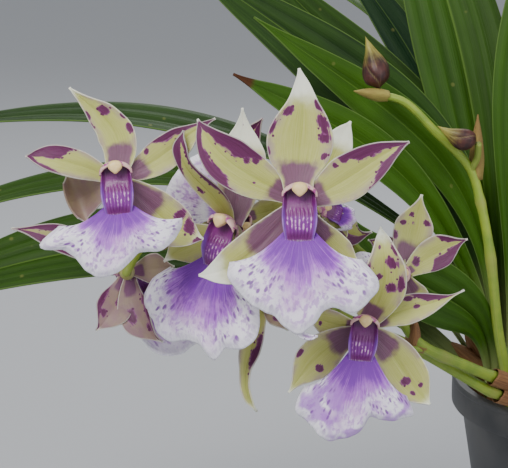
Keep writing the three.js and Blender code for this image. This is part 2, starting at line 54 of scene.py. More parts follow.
MM = 0.001
FACE_TILT = -12  # degrees that the flowers look up
TIP_HALF = 0.3  # half width of a blade at its very point
HUB = 3.4  # radius of the knob that a flower's pieces stand on
PETALS = (1, 2)  # their places in a flower's row of tepals
PETAL_SET_BACK = 1.1  # how far behind the sepals a front flower's petals start
PETAL_SET_FORWARD = 0.8  # how far before them a small flower's petals start

# Half widths along a blade, as shares of its largest.
LEAF_OUTLINE = (0.2, 0.3, 0.46, 0.7, 0.92, 1, 0.88, 0.52, 0.03)
ACUTE = (0.38, 0.58, 0.78, 0.95, 1, 0.95, 0.64, 0.25, 0.03)
SPEAR = (0.45, 0.52, 0.84, 1, 0.98, 0.77, 0.46, 0.24, 0.03)
SICKLE = (0.38, 0.6, 0.84, 1, 0.96, 0.84, 0.62, 0.3, 0.03)
BROAD = (0.35, 0.5, 0.77, 0.93, 1, 1, 0.8, 0.45, 0.03)
BLUNT = (0.4, 0.6, 0.8, 0.95, 1, 0.98, 0.85, 0.5, 0.04)
HOOKED = (0.6, 0.81, 0.95, 1, 0.87, 0.74, 0.45, 0.2, 0.03)
THIN = (0.4, 0.62, 0.85, 1, 0.97, 0.85, 0.52, 0.22, 0.03)
TAILED = (0.38, 0.62, 0.85, 1, 0.93, 0.72, 0.4, 0.1, 0.03)
POINTED = (0.5, 0.66, 0.85, 1, 0.97, 0.86, 0.55, 0.3, 0.03)
CURLED = (0.5, 0.75, 0.95, 1, 0.9, 0.75, 0.7, 0.72, 0.05)
FLARED = (0.3, 0.4, 0.5, 0.6, 0.7, 0.8, 0.9, 1, 0.75)
STRAP = (0.4, 0.5, 0.7, 0.95, 1, 0.6, 0.5, 0.42, 0.05)


def marks(spots=(), margins=(), patch=(0.24, 0.62), pale=0.86, blush=0.0):
    """What is painted on a tepal. Spots: along, across, half length and half breadth. Margins: side (1 is
    clockwise), start along, depth. Patch: reach and half breadth of the stain at the foot. Pale: where the
    white of the tip begins. Blush: how brownish pink it is all over."""
    return {"spots": spots, "margins": margins, "patch": patch, "pale": pale, "blush": blush}


PLAIN_MARKS = (
    marks(((0.6, -0.6, 0.06, 0.2), (0.55, 0.7, 0.07, 0.2), (0.42, -0.8, 0.05, 0.15)), pale=0.7),
    marks(((0.36, -0.6, 0.03, 0.16),), ((-1, 0.42, 0.55), (1, 0.6, 0.6))),
    marks(((0.36, 0.6, 0.03, 0.16),), ((1, 0.42, 0.55), (-1, 0.6, 0.6))),
    marks(((0.7, 0.3, 0.06, 0.3), (0.8, -0.4, 0.05, 0.2)), patch=(0.42, 0.75)),
    marks(((0.7, -0.3, 0.06, 0.3), (0.8, 0.4, 0.05, 0.2)), patch=(0.42, 0.75)),
)

# Tepals in the order dorsal sepal, right petal, left petal, right and left lateral sepal, seen from the
# front. Each row: tip to the right, up and forward of the flower's centre; how far a third and two thirds of
# the way stand forward; how far they bow clockwise; the width; the cupping; the turn in degrees; the outline.
PLAIN_TEPALS = (
    (1, 38, 1, -1.5, -1, 0, 0, 18, 0.12, 0, ACUTE),
    (31, 20, 1, -1, 0, -0.9, -0.9, 15, 0.1, 8, ACUTE),
    (-31, 20, 1, -1, 0, 0.9, 0.9, 15, 0.1, -8, ACUTE),
    (28, -22, -3, -1, -2, -0.9, -0.9, 14, 0.1, 0, ACUTE),
    (-28, -22, -3, -1, -2, 0.9, 0.9, 14, 0.1, 0, ACUTE),
)
PLAIN_LIP = (18, 25, 26, 26, 28, 26, 26, 25, 18)


def smaller(rows, share):
    """The same tepals on a smaller flower: the first eight numbers of a row are lengths."""
    return tuple(tuple(n * share if i < 8 else n for i, n in enumerate(row)) for row in rows)


# Flowers: centre, turn (right, down, clockwise) of the whole flower, and of its lip and column alone; the
# tepals and what is painted on them; the lengths of the lip's rays at equal steps from left to right; the
# angle from the lip's middle to its side; and the size as a share of the first flower's. A front flower has a
# finer mesh. Violet is how much further the lip's violet reaches, or how far it falls short where it is below
# 0, and blotch how strongly it is blotched. Fold is where a ridge runs down the lip, from -1 at its left edge
# to 1, and how high it stands. Curl gives the lip's lowest edge a flap that curls back underneath.
FLOWERS = (
    {
        "at": (-140, -133, 210),
        "turn": (0, 0, 0),
        "lip_turn": (0, 0, 0),
        "tepals": (
            (0, 44.9, 2, -2, -1.5, 0, 1.1, 21.9, 0.12, 0, SPEAR),
            (36.6, 20.4, 2, -1, 1, 0.5, -0.4, 15.4, 0.1, 8, SICKLE),
            (-33.7, 28, 2, -1, 1, -2.7, -3.9, 15.8, 0.1, -8, BROAD),
            (23.5, -25, -5, -1.5, -3, 3, 2.5, 13.5, 0.08, 0, ACUTE),
            (-33.5, -24, -1, -1, -1, -3.2, -4.2, 14, 0.08, 0, BLUNT),
        ),
        "marks": (
            marks(
                (
                    (0.66, -0.64, 0.042, 0.28), (0.71, 0.88, 0.045, 0.16), (0.59, 0.8, 0.06, 0.22),
                    (0.475, 0.74, 0.05, 0.2), (0.53, 0.78, 0.05, 0.14), (0.51, -0.92, 0.08, 0.12),
                    (0.325, 0.83, 0.03, 0.1), (0.34, -0.97, 0.04, 0.08),
                ),
                patch=(0.275, 0.85), pale=0.66,
            ),
            marks(
                ((0.367, -0.75, 0.025, 0.14), (0.47, -0.75, 0.04, 0.18)),
                ((-1, 0.46, 0.74), (1, 0.56, 0.62)), patch=(0.19, 0.95),
            ),
            marks(
                (
                    (0.475, 0.43, 0.03, 0.15), (0.41, 0.65, 0.03, 0.14), (0.43, 0.88, 0.05, 0.12),
                    (0.33, -0.25, 0.012, 0.05),
                ),
                ((1, 0.42, 0.74), (-1, 0.46, 0.5)), patch=(0.2, 0.95),
            ),
            marks(patch=(0.42, 0.9), pale=0.75),
            marks(patch=(0.5, 0.95), pale=0.7),
        ),
        "lip": (
            24.5, 27.2, 27.1, 27.2, 27.2, 27, 27.3, 30, 32, 29.2, 25.5, 25.8, 30.3, 31, 31.3, 29.8, 22,
        ),
        "spread": 70,
        "curl": True,
        "size": 1,
        "front": True,
    },
    {
        "at": (-200.8, -126, 216.5),
        "turn": (0, 0, 0),
        "lip_turn": (0, 0, -4),
        "tepals": (
            (-16, 31, 3, -2, -2, 6.5, 4.3, 12.6, 0.12, 0, HOOKED),
            (32.6, 21.1, -4, -1, 2, 0.9, 0.2, 11.6, 0.12, -8, THIN),
            (-31, 8.1, 0, 0, 2, 1.6, 1.5, 10, 0.12, 20, BLUNT),
            (28.7, -19.7, -4, -1, -2, 1, 2, 15, 0.08, 0, BLUNT),
            (-17.9, -7.2, -8, -3, -6, 0, 0, 17.4, 0.1, 0, FLARED),
        ),
        "marks": (
            marks(
                (
                    (0.63, 0.4, 0.07, 0.36), (0.7, -0.85, 0.05, 0.2), (0.6, -0.95, 0.04, 0.12),
                    (0.36, 0.85, 0.04, 0.18), (0.47, 0.95, 0.03, 0.12),
                ),
                patch=(0.27, 0.8), pale=0.85,
            ),
            marks(((0.3, -0.75, 0.03, 0.16),), ((-1, 0.38, 0.55), (1, 0.78, 0.7)), patch=(0.24, 0.9)),
            marks(((0.12, -0.2, 0.02, 0.12),), ((1, 0.5, 0.95), (-1, 0.6, 0.4)), patch=(0.08, 0.9)),
            marks(
                ((0.656, -0.6, 0.07, 0.36), (0.82, -0.45, 0.09, 0.5), (0.95, 0.6, 0.05, 0.5)),
                patch=(0.45, 0.85),
            ),
            marks(patch=(0.1, 0.5), pale=0.99, blush=0.85),
        ),
        "lip": (
            22.3, 31.5, 24.5, 23.1, 23.2, 24.4, 24.4, 22.9, 20.6, 18.1, 16.7, 17.4, 19.8, 21.5, 22.2, 22.8,
            22.5,
        ),
        "spread": 80,
        "size": 0.93,
        "front": True,
    },
    {
        "at": (-162.5, -112, 195.4),
        "turn": (0, 0, 0),
        "lip_turn": (-36, 0, 17),
        "tepals": (
            (3.5, 43.6, -3, -3, -4, 1, 1, 17, 0.1, 0, ACUTE),
            (10.5, 40.6, -13, -6, -10, -4, -4, 12, 0.1, 0, BLUNT),
            (-16, 34.4, 20, 2, 4, -0.5, -4.4, 7, 0.1, -20, CURLED),
            (3, -17.4, -6, -2, -3, 3, 3, 13, 0.1, 0, ACUTE),
            (-24.5, -10, -18, 0, 0, 2, 2, 13, 0.1, 0, ACUTE),
        ),
        "marks": (
            marks(((0.86, 0.1, 0.01, 0.06),), patch=(0.34, 0.9), pale=0.55),
            marks(margins=((-1, 0.3, 0.95), (1, 0.4, 0.9)), pale=1),
            marks(((0.45, -0.5, 0.05, 0.2),), ((1, 0.24, 0.4), (-1, 0.66, 1)), patch=(0.1, 0.5), pale=1),
            marks(patch=(0.4, 0.9)),
            marks(patch=(0.1, 0.4), pale=0.8),
        ),
        "lip": (22, 30, 34.3, 35, 33.3, 33.6, 33, 29.5, 27.8, 28.3, 32.9, 29.2, 30.5, 31.2, 29.3, 24, 21),
        "spread": 70,
        "size": 1,
        "front": True,
        "violet": 0.1,
        "fold": (-0.16, 2.4),
    },
    {
        "at": (-117.3, -120, 163.6),
        "turn": (0, 0, 0),
        "lip_turn": (0, 8, 6),
        "tepals": (
            (5.8, 34.8, 3, 3, 8, 4, 2.8, 15.5, 0.2, 0, POINTED),
            (35, 13.2, 0, 0, 0, -0.8, 0.3, 10.4, 0.12, -10, TAILED),
            (-20, 5, -3, -1, -2, -1, -1, 9, 0.1, 0, ACUTE),
            (23.5, -26.7, -3, -1, -2, -1.6, -0.4, 15, 0.1, 0, BLUNT),
            (-25.7, -22.6, -3, -1, -2, 2.6, 2, 13.5, 0.1, 0, ACUTE),
        ),
        "marks": (
            marks(
                (
                    (0.637, 0.39, 0.075, 0.34), (0.505, -0.27, 0.04, 0.18), (0.405, 0.38, 0.05, 0.25),
                    (0.47, 0.75, 0.08, 0.16), (0.62, -0.95, 0.06, 0.28), (0.8, -0.4, 0.02, 0.12),
                    (0.76, 0.85, 0.06, 0.15),
                ),
                patch=(0.2, 0.7), pale=0.78,
            ),
            marks(
                ((0.5, -0.05, 0.035, 0.16), (0.44, -0.7, 0.05, 0.2)),
                ((-1, 0.5, 0.8),), patch=(0.2, 0.9),
            ),
            marks(((0.66, -0.3, 0.04, 0.24), (0.8, 0.5, 0.03, 0.2)), patch=(0.2, 0.9)),
            marks(
                (
                    (0.652, 0.22, 0.045, 0.25), (0.78, -0.35, 0.035, 0.18), (0.8, 0.35, 0.03, 0.12),
                ),
                patch=(0.35, 0.8),
            ),
            marks(((0.58, -0.5, 0.05, 0.25), (0.6, 0.85, 0.05, 0.12)), patch=(0.33, 0.9)),
        ),
        "lip": (26, 32, 34.9, 34.2, 34.6, 36, 36, 34, 32, 29, 24.6, 25.4, 27.6, 29.4, 30.8, 32.5, 25),
        "spread": 55,
        "size": 0.85,
        "front": True,
        "blotch": 1,
    },
    {
        "at": (-102.4, -106, 179.5),
        "turn": (0, 0, 0),
        "lip_turn": (-25, 0, 75),
        "tepals": (
            (6.5, 27.9, -1, -2, -2, 0, 0, 13.8, 0.1, 0, ACUTE),
            (22.5, 12.3, 0, -1, -1, -0.9, -0.9, 12, 0.1, 10, ACUTE),
            (-12, 12, -8, -1, -2, 1.7, 1.7, 10, 0.1, 0, ACUTE),
            (9, -14, -2, -1, -2, 0.9, 0.9, 10, 0.1, 0, ACUTE),
            (-12, -8, -9, -1, -2, -0.9, -0.9, 10, 0.1, 0, ACUTE),
        ),
        "marks": (
            marks(
                (
                    (0.73, -0.36, 0.04, 0.2), (0.6, -0.6, 0.04, 0.2), (0.62, -0.08, 0.025, 0.1),
                    (0.42, -0.92, 0.06, 0.22), (0.65, 0.68, 0.04, 0.2),
                ),
                patch=(0.36, 0.8), pale=0.9,
            ),
            marks(((0.18, -0.3, 0.07, 0.4),), ((-1, 0.6, 0.6), (1, 0.32, 0.8)), patch=(0.1, 0.5)),
            *PLAIN_MARKS[2:],
        ),
        "lip": PLAIN_LIP,
        "spread": 75,
        "size": 0.55,
    },
    {
        "at": (-131, -96, 201),
        "turn": (0, 0, 0),
        "lip_turn": (45, 5, -70),
        "tepals": (
            (10.4, 31, -2, -3, -3, -1.7, -1.7, 12, 0.1, 0, BLUNT),
            (18.5, -8.2, -10, -1, -2, 2.5, 3.9, 10, 0.1, 0, ACUTE),
            (-13, 16, -7, -3, -5, 1.7, 1.7, 11, 0.1, 0, ACUTE),
            (8, -16, -9, -1, -2, 0, 0, 10, 0.1, 0, ACUTE),
            (-8, -17, -6, -2, -4, 0, 0, 10, 0.1, 0, ACUTE),
        ),
        "marks": (
            marks(pale=0.6),
            marks(margins=((1, 0.3, 1), (-1, 0.7, 0.5))),
            *PLAIN_MARKS[2:],
        ),
        "lip": (8, 9, 10, 10, 10, 10, 10, 9, 8),
        "spread": 75,
        "size": 0.6,
    },
    {
        "at": (-161, -84, 194.5),
        "turn": (10, 5, 128),
        "lip_turn": (0, 0, 0),
        "tepals": smaller(PLAIN_TEPALS, 0.64),
        "marks": PLAIN_MARKS,
        "lip": (24, 32, 34, 34, 34, 34, 34, 32, 24),
        "spread": 75,
        "size": 0.64,
        "violet": -0.3,
    },
    {
        "at": (-200.5, -92, 177),
        "turn": (0, 0, 0),
        "lip_turn": (182, 0, 36),
        "tepals": (
            (-12, 13, 0, -1, -1, 1.7, 1.7, 11, 0.1, 0, ACUTE),
            (-41.5, 15.5, 2, 1, 3, 2.6, 2.6, 10, 0.15, 20, ACUTE),
            (17, 2, 0, 0, 0, 0, 0, 11, 0.1, 0, ACUTE),
            (13, -25, 4, 1, 3, 3.5, 3.5, 12, 0.2, 30, ACUTE),
            (-11, -21, 3, 0, 2, -1.7, -1.7, 13, 0.1, 0, ACUTE),
        ),
        "marks": (
            marks(blush=0.8),
            marks(margins=((-1, 0.3, 0.9), (1, 0.35, 0.6)), pale=0.88, blush=0.3),
            marks(blush=0.8),
            marks(((0.5, 0.3, 0.1, 0.3), (0.75, -0.4, 0.07, 0.25)), ((-1, 0.2, 0.3),), blush=0.95),
            marks(((0.4, -0.2, 0.09, 0.3), (0.7, 0.4, 0.08, 0.25)), ((1, 0.2, 0.3),), blush=0.95),
        ),
        "lip": (20, 24, 28, 31, 31, 28, 20, 12, 7),
        "spread": 75,
        "size": 0.85,
    },
    {
        "at": (-152, -98, 170),
        "turn": (0, 0, 0),
        "lip_turn": (0, 0, -176),
        "tepals": (
            (-1.9, -41.3, 4, 2, 4, 1.9, 4.8, 7.2, 0.25, 25, STRAP),
            (-15, -4, -5, -1, -2, 0, 0, 10, 0.1, 0, ACUTE),
            (9, -12.5, 3, 0, 2, 0, 0, 8, 0.1, 0, ACUTE),
            (-9, 11, -4, -1, -1, 0, 0, 9, 0.1, 0, ACUTE),
            (14, 8, -5, -1, -2, 0, 0, 9, 0.1, 0, ACUTE),
        ),
        "marks": (
            marks(((0.46, -0.75, 0.17, 0.5),), patch=(0.1, 0.5)),
            marks(blush=0.8),
            marks(((0.6, 0.2, 0.1, 0.4),), blush=0.7),
            marks(blush=0.8),
            marks(blush=0.6),
        ),
        "lip": PLAIN_LIP,
        "spread": 75,
        "size": 0.6,
    },
)

# Leaves: width, the way the face looks, four points along the middle, how brightly lit and yellow the green
# is, and where a dried brown tip begins.
FRONT = (0, -1, 0.3)
SKY = (0, -0.25, 1)
LEAVES = (
    (32, FRONT, ((-50, -20, 126), (-48, -15, 190), (-40, -2, 262), (-10, 22, 345)), 0.75, 1),
    (38, FRONT, ((-54, -12, 128), (-62, -8, 190), (-74, 12, 257), (-102, 42, 328)), 0.6, 1),
    (30, FRONT, ((-58, -16, 127), (-72, -14, 186), (-112, -8, 232), (-190, 10, 286)), 0.3, 1),
    (18, FRONT, ((-57, -21, 125), (-70, -24, 187), (-102, -27, 225), (-155, -22, 262)), 0.85, 1),
    (17, FRONT, ((-57, -27, 122), (-84, -33, 186), (-120, -34, 219), (-163, -32, 241)), 0.9, 0.97),
    (25, FRONT, ((-60, -30, 115), (-69, -39, 146), (-90, -47, 161), (-119, -50, 189)), 0.7, 1),
    (24, SKY, ((-42, 6, 134), (-110, -10, 186), (-190, -15, 219.5), (-300, -14, 213)), 0.3, 0.98),
    (17, FRONT, ((-44, 20, 130), (-63, 22, 185), (-88, 36, 240), (-130, 58, 292)), 0.15, 1),
    (22, SKY, ((-63, -15, 116), (-120, -27, 178), (-205, -33, 201), (-310, -40, 170)), 0.45, 0.98),
    (38, (0, -0.6, 1), ((-62, -24, 113.5), (-128, -40, 163), (-208, -50, 177), (-312, -60, 147)), 0.4, 1),
    (26, FRONT, ((-43, 14, 135), (-63, 5, 184), (-101, 11, 229), (-162, 28, 289)), 0.35, 1),
    (32, (0.4, -0.8, 1), ((-36, 18, 134), (-62, 58, 214), (-104, 104, 262), (-160, 150, 268)), 0.45, 1),
    (34, (-0.6, -0.3, 1), ((12, -6, 140), (30, -24, 225), (70, -50, 290), (135, -82, 318)), 0.5, 1),
    (36, (-0.7, 0.1, 1), ((16, 0, 139), (48, 4, 232), (105, 8, 292), (190, 12, 300)), 0.55, 0.97),
    (34, (0.1, -1, 0.5), ((8, 3, 140), (8, 22, 240), (4, 48, 322), (-14, 86, 376)), 0.5, 1),
    (34, (-0.5, -0.3, 1), ((44, 18, 134), (78, 36, 196), (135, 60, 232), (215, 86, 208)), 0.4, 0.95),
    (32, (-0.3, -0.8, 1), ((37, 25.2, 136), (46, 68, 215), (64, 112, 268), (88, 172, 275)), 0.5, 1),
    (32, (-0.8, -0.5, 0.3), ((38, 18, 138), (46, 40, 240), (62, 54, 325), (96, 60, 385)), 0.6, 1),
    (34, (-0.5, 0.3, 1), ((44, 10, 134), (90, -8, 180), (152, -34, 206), (228, -66, 182)), 0.45, 1),
)

# Spikes: the way each runs, its radius at the foot and the top, and its flower stalks: the flower, how far
# along the spike the stalk leaves, and how far its middle drops. Sheath is how far up the spike a dry scale
# wraps it, as a share of its length, and 0 is none. The spike with a side bud carries the lower bud's stalk.
SPIKES = (
    {
        "node": "flower_spike_1",
        "line": (
            (-43, -31, 96), (-43, -31.5, 108), (-52, -49, 120.5), (-74, -76, 136.3), (-97, -95, 152.6),
            (-104, -92, 164), (-112, -86, 178), (-122, -81, 187),
        ),
        "foot": 2.5,
        "top": 1.5,
        "stalks": ((3, 0.66, 3), (4, 0.8, 2), (5, 0.97, 2)),
        "sheath": 0.4,
    },
    {
        "node": "flower_spike_2",
        "line": (
            (-46, -39, 96), (-46, -39, 106), (-52, -47, 114), (-67, -64, 124.7), (-99, -82, 147.2),
            (-128, -81, 160), (-155, -71, 173.5), (-180, -70, 181), (-193, -73, 183),
        ),
        "foot": 2.5,
        "top": 1.3,
        "stalks": ((0, 0.61, 3), (8, 0.7, 0), (2, 0.76, 4), (6, 0.83, 0), (7, 0.97, -6), (1, 0.98, 3)),
        "sheath": 0.213,
    },
    {
        "node": "bud_spike",
        "line": (
            (-52, -34, 96), (-52.5, -34, 109), (-59, -38.5, 140), (-64, -43, 174), (-68, -43, 193),
            (-72.3, -43, 206), (-86.5, -45, 221), (-98, -46, 232), (-107, -46, 235),
        ),
        "foot": 2.2,
        "top": 1.5,
        "stalks": (),
        "sheath": 0,
        "side_bud": True,
    },
)
STALK_RADII = (1.2, 1.7)
SHEATH_WRAP = 344  # degrees of the stem that a dry sheath goes round
BARE_JOINTS = (0.36, 0.5)  # joints of a spike that bear no flower, as shares of its length
# Buds: foot, tip and half width.
BUDS = (
    ((-107.8, -45.5, 236.8), (-113, -41, 256.5), 5.3),
    ((-70.7, -49, 216.9), (-86.4, -52, 224), 4.2),
)
# The lower bud's own stalk, from the joint inside the upright bract.
BUD_STALK = ((-72, -43.2, 205.5), (-70, -46, 211), (-70.2, -48.7, 216.7))
BUD_STALK_RADIUS = 1.3
# Bracts: foot, tip, half width, and how brown and dry the scale is.
BRACTS = (
    ((-69.5, -42, 201.5), (-69.5, -40, 226.5), 2.9, 0.5),
    ((-104, -46, 234.5), (-117.5, -48, 236.5), 2.5, 0),
    ((-98, -95, 150), (-97, -97, 161), 2.7, 0.9),
)
BRACT_REACH = 3  # how near its foot a bract's own spike passes

# Pseudobulbs: centre on the bark, half width, half depth and full height.
BULBS = (
    ((-54, -18), 9, 11, 36),
    ((-38, 12), 12, 10, 44),
    ((10, -2), 15, 12, 52),
    ((38, 16), 14, 12, 48),
    ((22, -36), 13, 11, 38),
)
BULB_SUNK = 7  # how deep they stand in the bark
BULB_SHEATHS = 4  # dry sheaths round each
BULB_SHEATH_SPAN = 118  # degrees of the bulb that the foot of one covers
# Old sheaths that spread to the left of the first pseudobulb: foot, tip and half width.
HUSKS = (
    ((-59, -22, 116), (-79, -27, 134), 5),
    ((-58, -20, 119), (-71, -23, 138), 4.5),
)

# Pot: outer radii of the rim and the foot, the height, the wall, the height of the rim's band and how far it
# stands out, and the floor. Drain holes: how many, their radius and the radius of the circle they stand on.
POT = {"rim": 72, "foot": 52, "height": 110, "wall": 2.4, "band": 12, "band_out": 2.2, "floor": 3}
DRAIN = {"count": 6, "radius": 5, "circle": 33}
MEDIUM_TOP = 101  # height of the bark's upper face
# Bark chips: ranges of length, breadth and thickness; how far their corners stray; the spread of their tilt
# in radians; and the width of their broken edges.
CHIP = {"long": (7, 15), "broad": (5, 9), "thick": (2.2, 4.2), "stray": 0.8, "tilt": 0.25, "edge": 0.55}

GAP = 0.35  # left between a piece and the one that it stands against
MERGE = 0.005  # points nearer than this are one
THROAT_THICKNESS = 0.4
HOOD_THICKNESS = 0.7
BRACT_THICKNESS = 0.25

# Lights: name, place and size in metres, watts and tint.
LIGHTS = (
    ("key", (-0.7, -1.1, 1.25), 0.9, 26, (1, 0.985, 0.96)),
    ("fill", (0.9, -1.0, 0.7), 1.2, 8, (0.94, 0.97, 1)),
    ("rim", (0.1, 1.0, 1.2), 0.8, 9, (1, 1, 1)),
)
LIGHT_AIM = (-0.13, -0.1, 0.2)
STUDIO_TINT = (0.93, 0.96, 1)
STUDIO_STRENGTH = 0.6
FLOOR_HALF = 9  # metres

# Camera: the point it looks at, how far off that is, and how many degrees down it looks.
CAMERA_AIM = (-155, -135, 200)
CAMERA_DISTANCE = 600
CAMERA_DOWN = 12
SENSOR = 36  # millimetres wide
PICTURE_COLUMNS = 508
COLUMNS_PER_MM = 3  # at the camera's distance


def smooth(low, high, x):
    """From 0 at low to 1 at high along a soft S, or falling where low is the higher."""
    t = min(max((x - low) / (high - low), 0), 1)
    return t * t * (3 - 2 * t)


def along(values, x):
    """A smooth value between those of a list at equal steps, x from 0 to 1."""
    last = len(values) - 1
    i = min(int(x * last), last - 1)
    t = x * last - i
    a, b, c, d = (values[max(0, min(last, i + n))] for n in (-1, 0, 1, 2))
    return b + 0.5 * t * (c - a + t * (2 * a - 5 * b + 4 * c - d + t * (3 * (b - c) + d - a)))


def wobble(x, y, seed):
    """A smooth random number from about -1 to 1."""
    return noise.noise(Vector((x, y, seed * 7.31)))


class Shape:
    """A mesh in the making, in millimetres, with named values at its points for its finish to read."""

    def __init__(self, *facts):
        self.bm = bmesh.new()
        self.bm.loops.layers.uv.new("UVMap")
        self.layers = {name: self.bm.verts.layers.float.new(name) for name in facts}

    def set_facts(self, vert, facts, u, v):
        for name, fact in facts.items():
            vert[self.layers[name]] = fact(u, v) if callable(fact) else fact

    def surface(self, place, across, rows, **facts):
        """A grid bent into shape: place(u, v) is where each point goes, with u and v from 0 to 1."""
        made = bmesh.ops.create_grid(
            self.bm, x_segments=across, y_segments=rows, size=0.5, calc_uvs=True
        )
        for vert in made["verts"]:
            u = min(max(vert.co.x + 0.5, 0), 1)
            v = min(max(vert.co.y + 0.5, 0), 1)
            vert.co = place(u, v)
            self.set_facts(vert, facts, u, v)
        for face in {face for vert in made["verts"] for face in vert.link_faces}:
            face.smooth = True
        return made["verts"]

    def tube(self, points, radius, sides, **facts):
        """A round stem through points, closed at both ends. radius(share, angle) is its radius."""
        ways = [(b - a).normalized() for a, b in zip(points, points[1:])]
        ways.append(ways[-1])
        side = ways[0].orthogonal().normalized()
        frames = []
        for way in ways:
            side = (side - way * side.dot(way)).normalized()
            frames.append((side.copy(), way.cross(side)))
        last = len(points) - 1

        def place(u, v):
            row = round(v * (last + 2)) - 1
            i = min(max(row, 0), last)
            if row != i:
                return points[i]
            angle = 2 * math.pi * u
            a, b = frames[i]
            return points[i] + (a * math.cos(angle) + b * math.sin(angle)) * radius(i / last, angle)

        return self.surface(place, sides, last + 2, **facts)

    def close(self):
        """Joins the seams and poles, and turns the faces outwards."""
        bmesh.ops.remove_doubles(self.bm, verts=self.bm.verts, dist=MERGE)
        bmesh.ops.recalc_face_normals(self.bm, faces=self.bm.faces)

    def piece(self, name, finish, slot, *nodes, thickness=0):
        """The finished object, in metres, standing for its node or nodes."""
        bmesh.ops.scale(self.bm, vec=(MM, MM, MM), verts=self.bm.verts)
        mesh = bpy.data.meshes.new(name)
        self.bm.to_mesh(mesh)
        self.bm.free()
        mesh.materials.append(finish)
        made = bpy.data.objects.new(name, mesh)
        bpy.context.scene.collection.objects.link(made)
        if thickness:
            skin = made.modifiers.new("thickness", "SOLIDIFY")
            skin.thickness = thickness * MM
            skin.offset = 0
        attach(made, "root")
        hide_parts(*nodes)
        return made


def through_four(points):
    """The handles of the cubic that passes through four points at equal steps."""
    def mix(*shares):
        return sum((p * (n / 6) for p, n in zip(points, shares)), Vector())

    return points[0], mix(-5, 18, -9, 2), mix(2, -9, 18, -5), points[3]


def on_cubic(handles, t):
    """The point and direction of a cubic."""
    a, b, c, d = handles
    r = 1 - t
    point = a * r**3 + b * (3 * r * r * t) + c * (3 * r * t * t) + d * t**3
    way = (b - a) * (r * r) + (c - b) * (2 * r * t) + (d - c) * (t * t)
    return point, way.normalized()


def blade(line, width, faces, outline, turn, height):
    """A blade along a cubic. Returns place(u, v) and half(v); height(s, t, half) is the cross-section."""
    handles = through_four([Vector(p) for p in line])
    facing = Vector(faces).normalized()

    @functools.cache
    def section(s):
        point, way = on_cubic(handles, s)
        up = (facing - way * facing.dot(way)).normalized()
        up.rotate(Quaternion(way, math.radians(turn) * s))
        half = max(width / 2 * along(outline, s), TIP_HALF)
        return point, way.cross(up), up, half

    def place(u, v):
        t = 2 * u - 1
        point, side, up, half = section(v)
        return point + side * (half * t) + up * height(v, t, half)

    return place, lambda v: section(v)[3]


def smooth_path(points, steps=8):
    """Points along a centripetal Catmull-Rom curve."""
    points = [Vector(p) for p in points]
    ends = [2 * points[0] - points[1], *points, 2 * points[-1] - points[-2]]
    path = []
    for p0, p1, p2, p3 in zip(ends, ends[1:], ends[2:], ends[3:]):
        d0, d1, d2 = ((b - a).length ** 0.5 for a, b in ((p0, p1), (p1, p2), (p2, p3)))
        m1 = ((p1 - p0) / d0 - (p2 - p0) / (d0 + d1) + (p2 - p1) / d1) * d1
        m2 = ((p2 - p1) / d1 - (p3 - p1) / (d1 + d2) + (p3 - p2) / d2) * d1
        for i in range(steps):
            t = i / steps
            c2 = 3 * (p2 - p1) - 2 * m1 - m2
            c3 = 2 * (p1 - p2) + m1 + m2
            path.append(p1 + m1 * t + c2 * t * t + c3 * t**3)
    path.append(points[-1])
    return path


def point_at(path, share):
    """The point at a share of a path's length, and the direction there."""
    lengths = [(b - a).length for a, b in zip(path, path[1:])]
    left = share * sum(lengths)
    for a, b, length in zip(path, path[1:], lengths):
        if left <= length:
            return a.lerp(b, left / length), (b - a).normalized()
        left -= length
    return path[-1], (path[-1] - path[-2]).normalized()


def flower_frame(flower, *turns, size=None):
    """Turns a point given as right, up and forward of a flower's centre into the plant's millimetres."""
    pose = Matrix.Translation(flower["at"]) @ Matrix.Rotation(math.radians(FACE_TILT), 4, "X")
    for yaw, nod, roll in turns:
        for angle, axis in ((yaw, "Z"), (nod, "X"), (roll, "Y")):
            pose = pose @ Matrix.Rotation(math.radians(angle), 4, axis)
    pose = pose @ Matrix.Scale(flower["size"] if size is None else size, 4)
    return lambda right, up, forward: pose @ Vector((right, -forward, up))


class Wire:
    """A value that flows through a material. Arithmetic on it adds Math nodes."""

    def __init__(self, paint, socket):
        self.paint = paint
        self.socket = socket

    def maths(self, operation, *values, clamp=False):
        settings = {"operation": operation, "use_clamp": clamp}
        return self.paint.node("ShaderNodeMath", settings, *values)

    def __add__(self, other):
        return self.maths("ADD", self, other)

    __radd__ = __add__

    def __sub__(self, other):
        return self.maths("SUBTRACT", self, other)

    def __rsub__(self, other):
        return self.maths("SUBTRACT", other, self)

    def __mul__(self, other):
        return self.maths("MULTIPLY", self, other)

    __rmul__ = __mul__

    def __abs__(self):
        return self.maths("ABSOLUTE", self)

    def clamped(self):
        return self.maths("ADD", self, 0.0, clamp=True)

    def between(self, low, high):
        """A smooth step from 0 at low to 1 at high, or down where low is the higher."""
        flip = low > high
        values = (self, min(low, high), max(low, high), float(flip), float(not flip))
        settings = {"interpolation_type": "SMOOTHSTEP"}
        return self.paint.node("ShaderNodeMapRange", settings, *values)


MIX_SOCKETS = {"factor": 0, "a": 6, "b": 7, "result": 2}


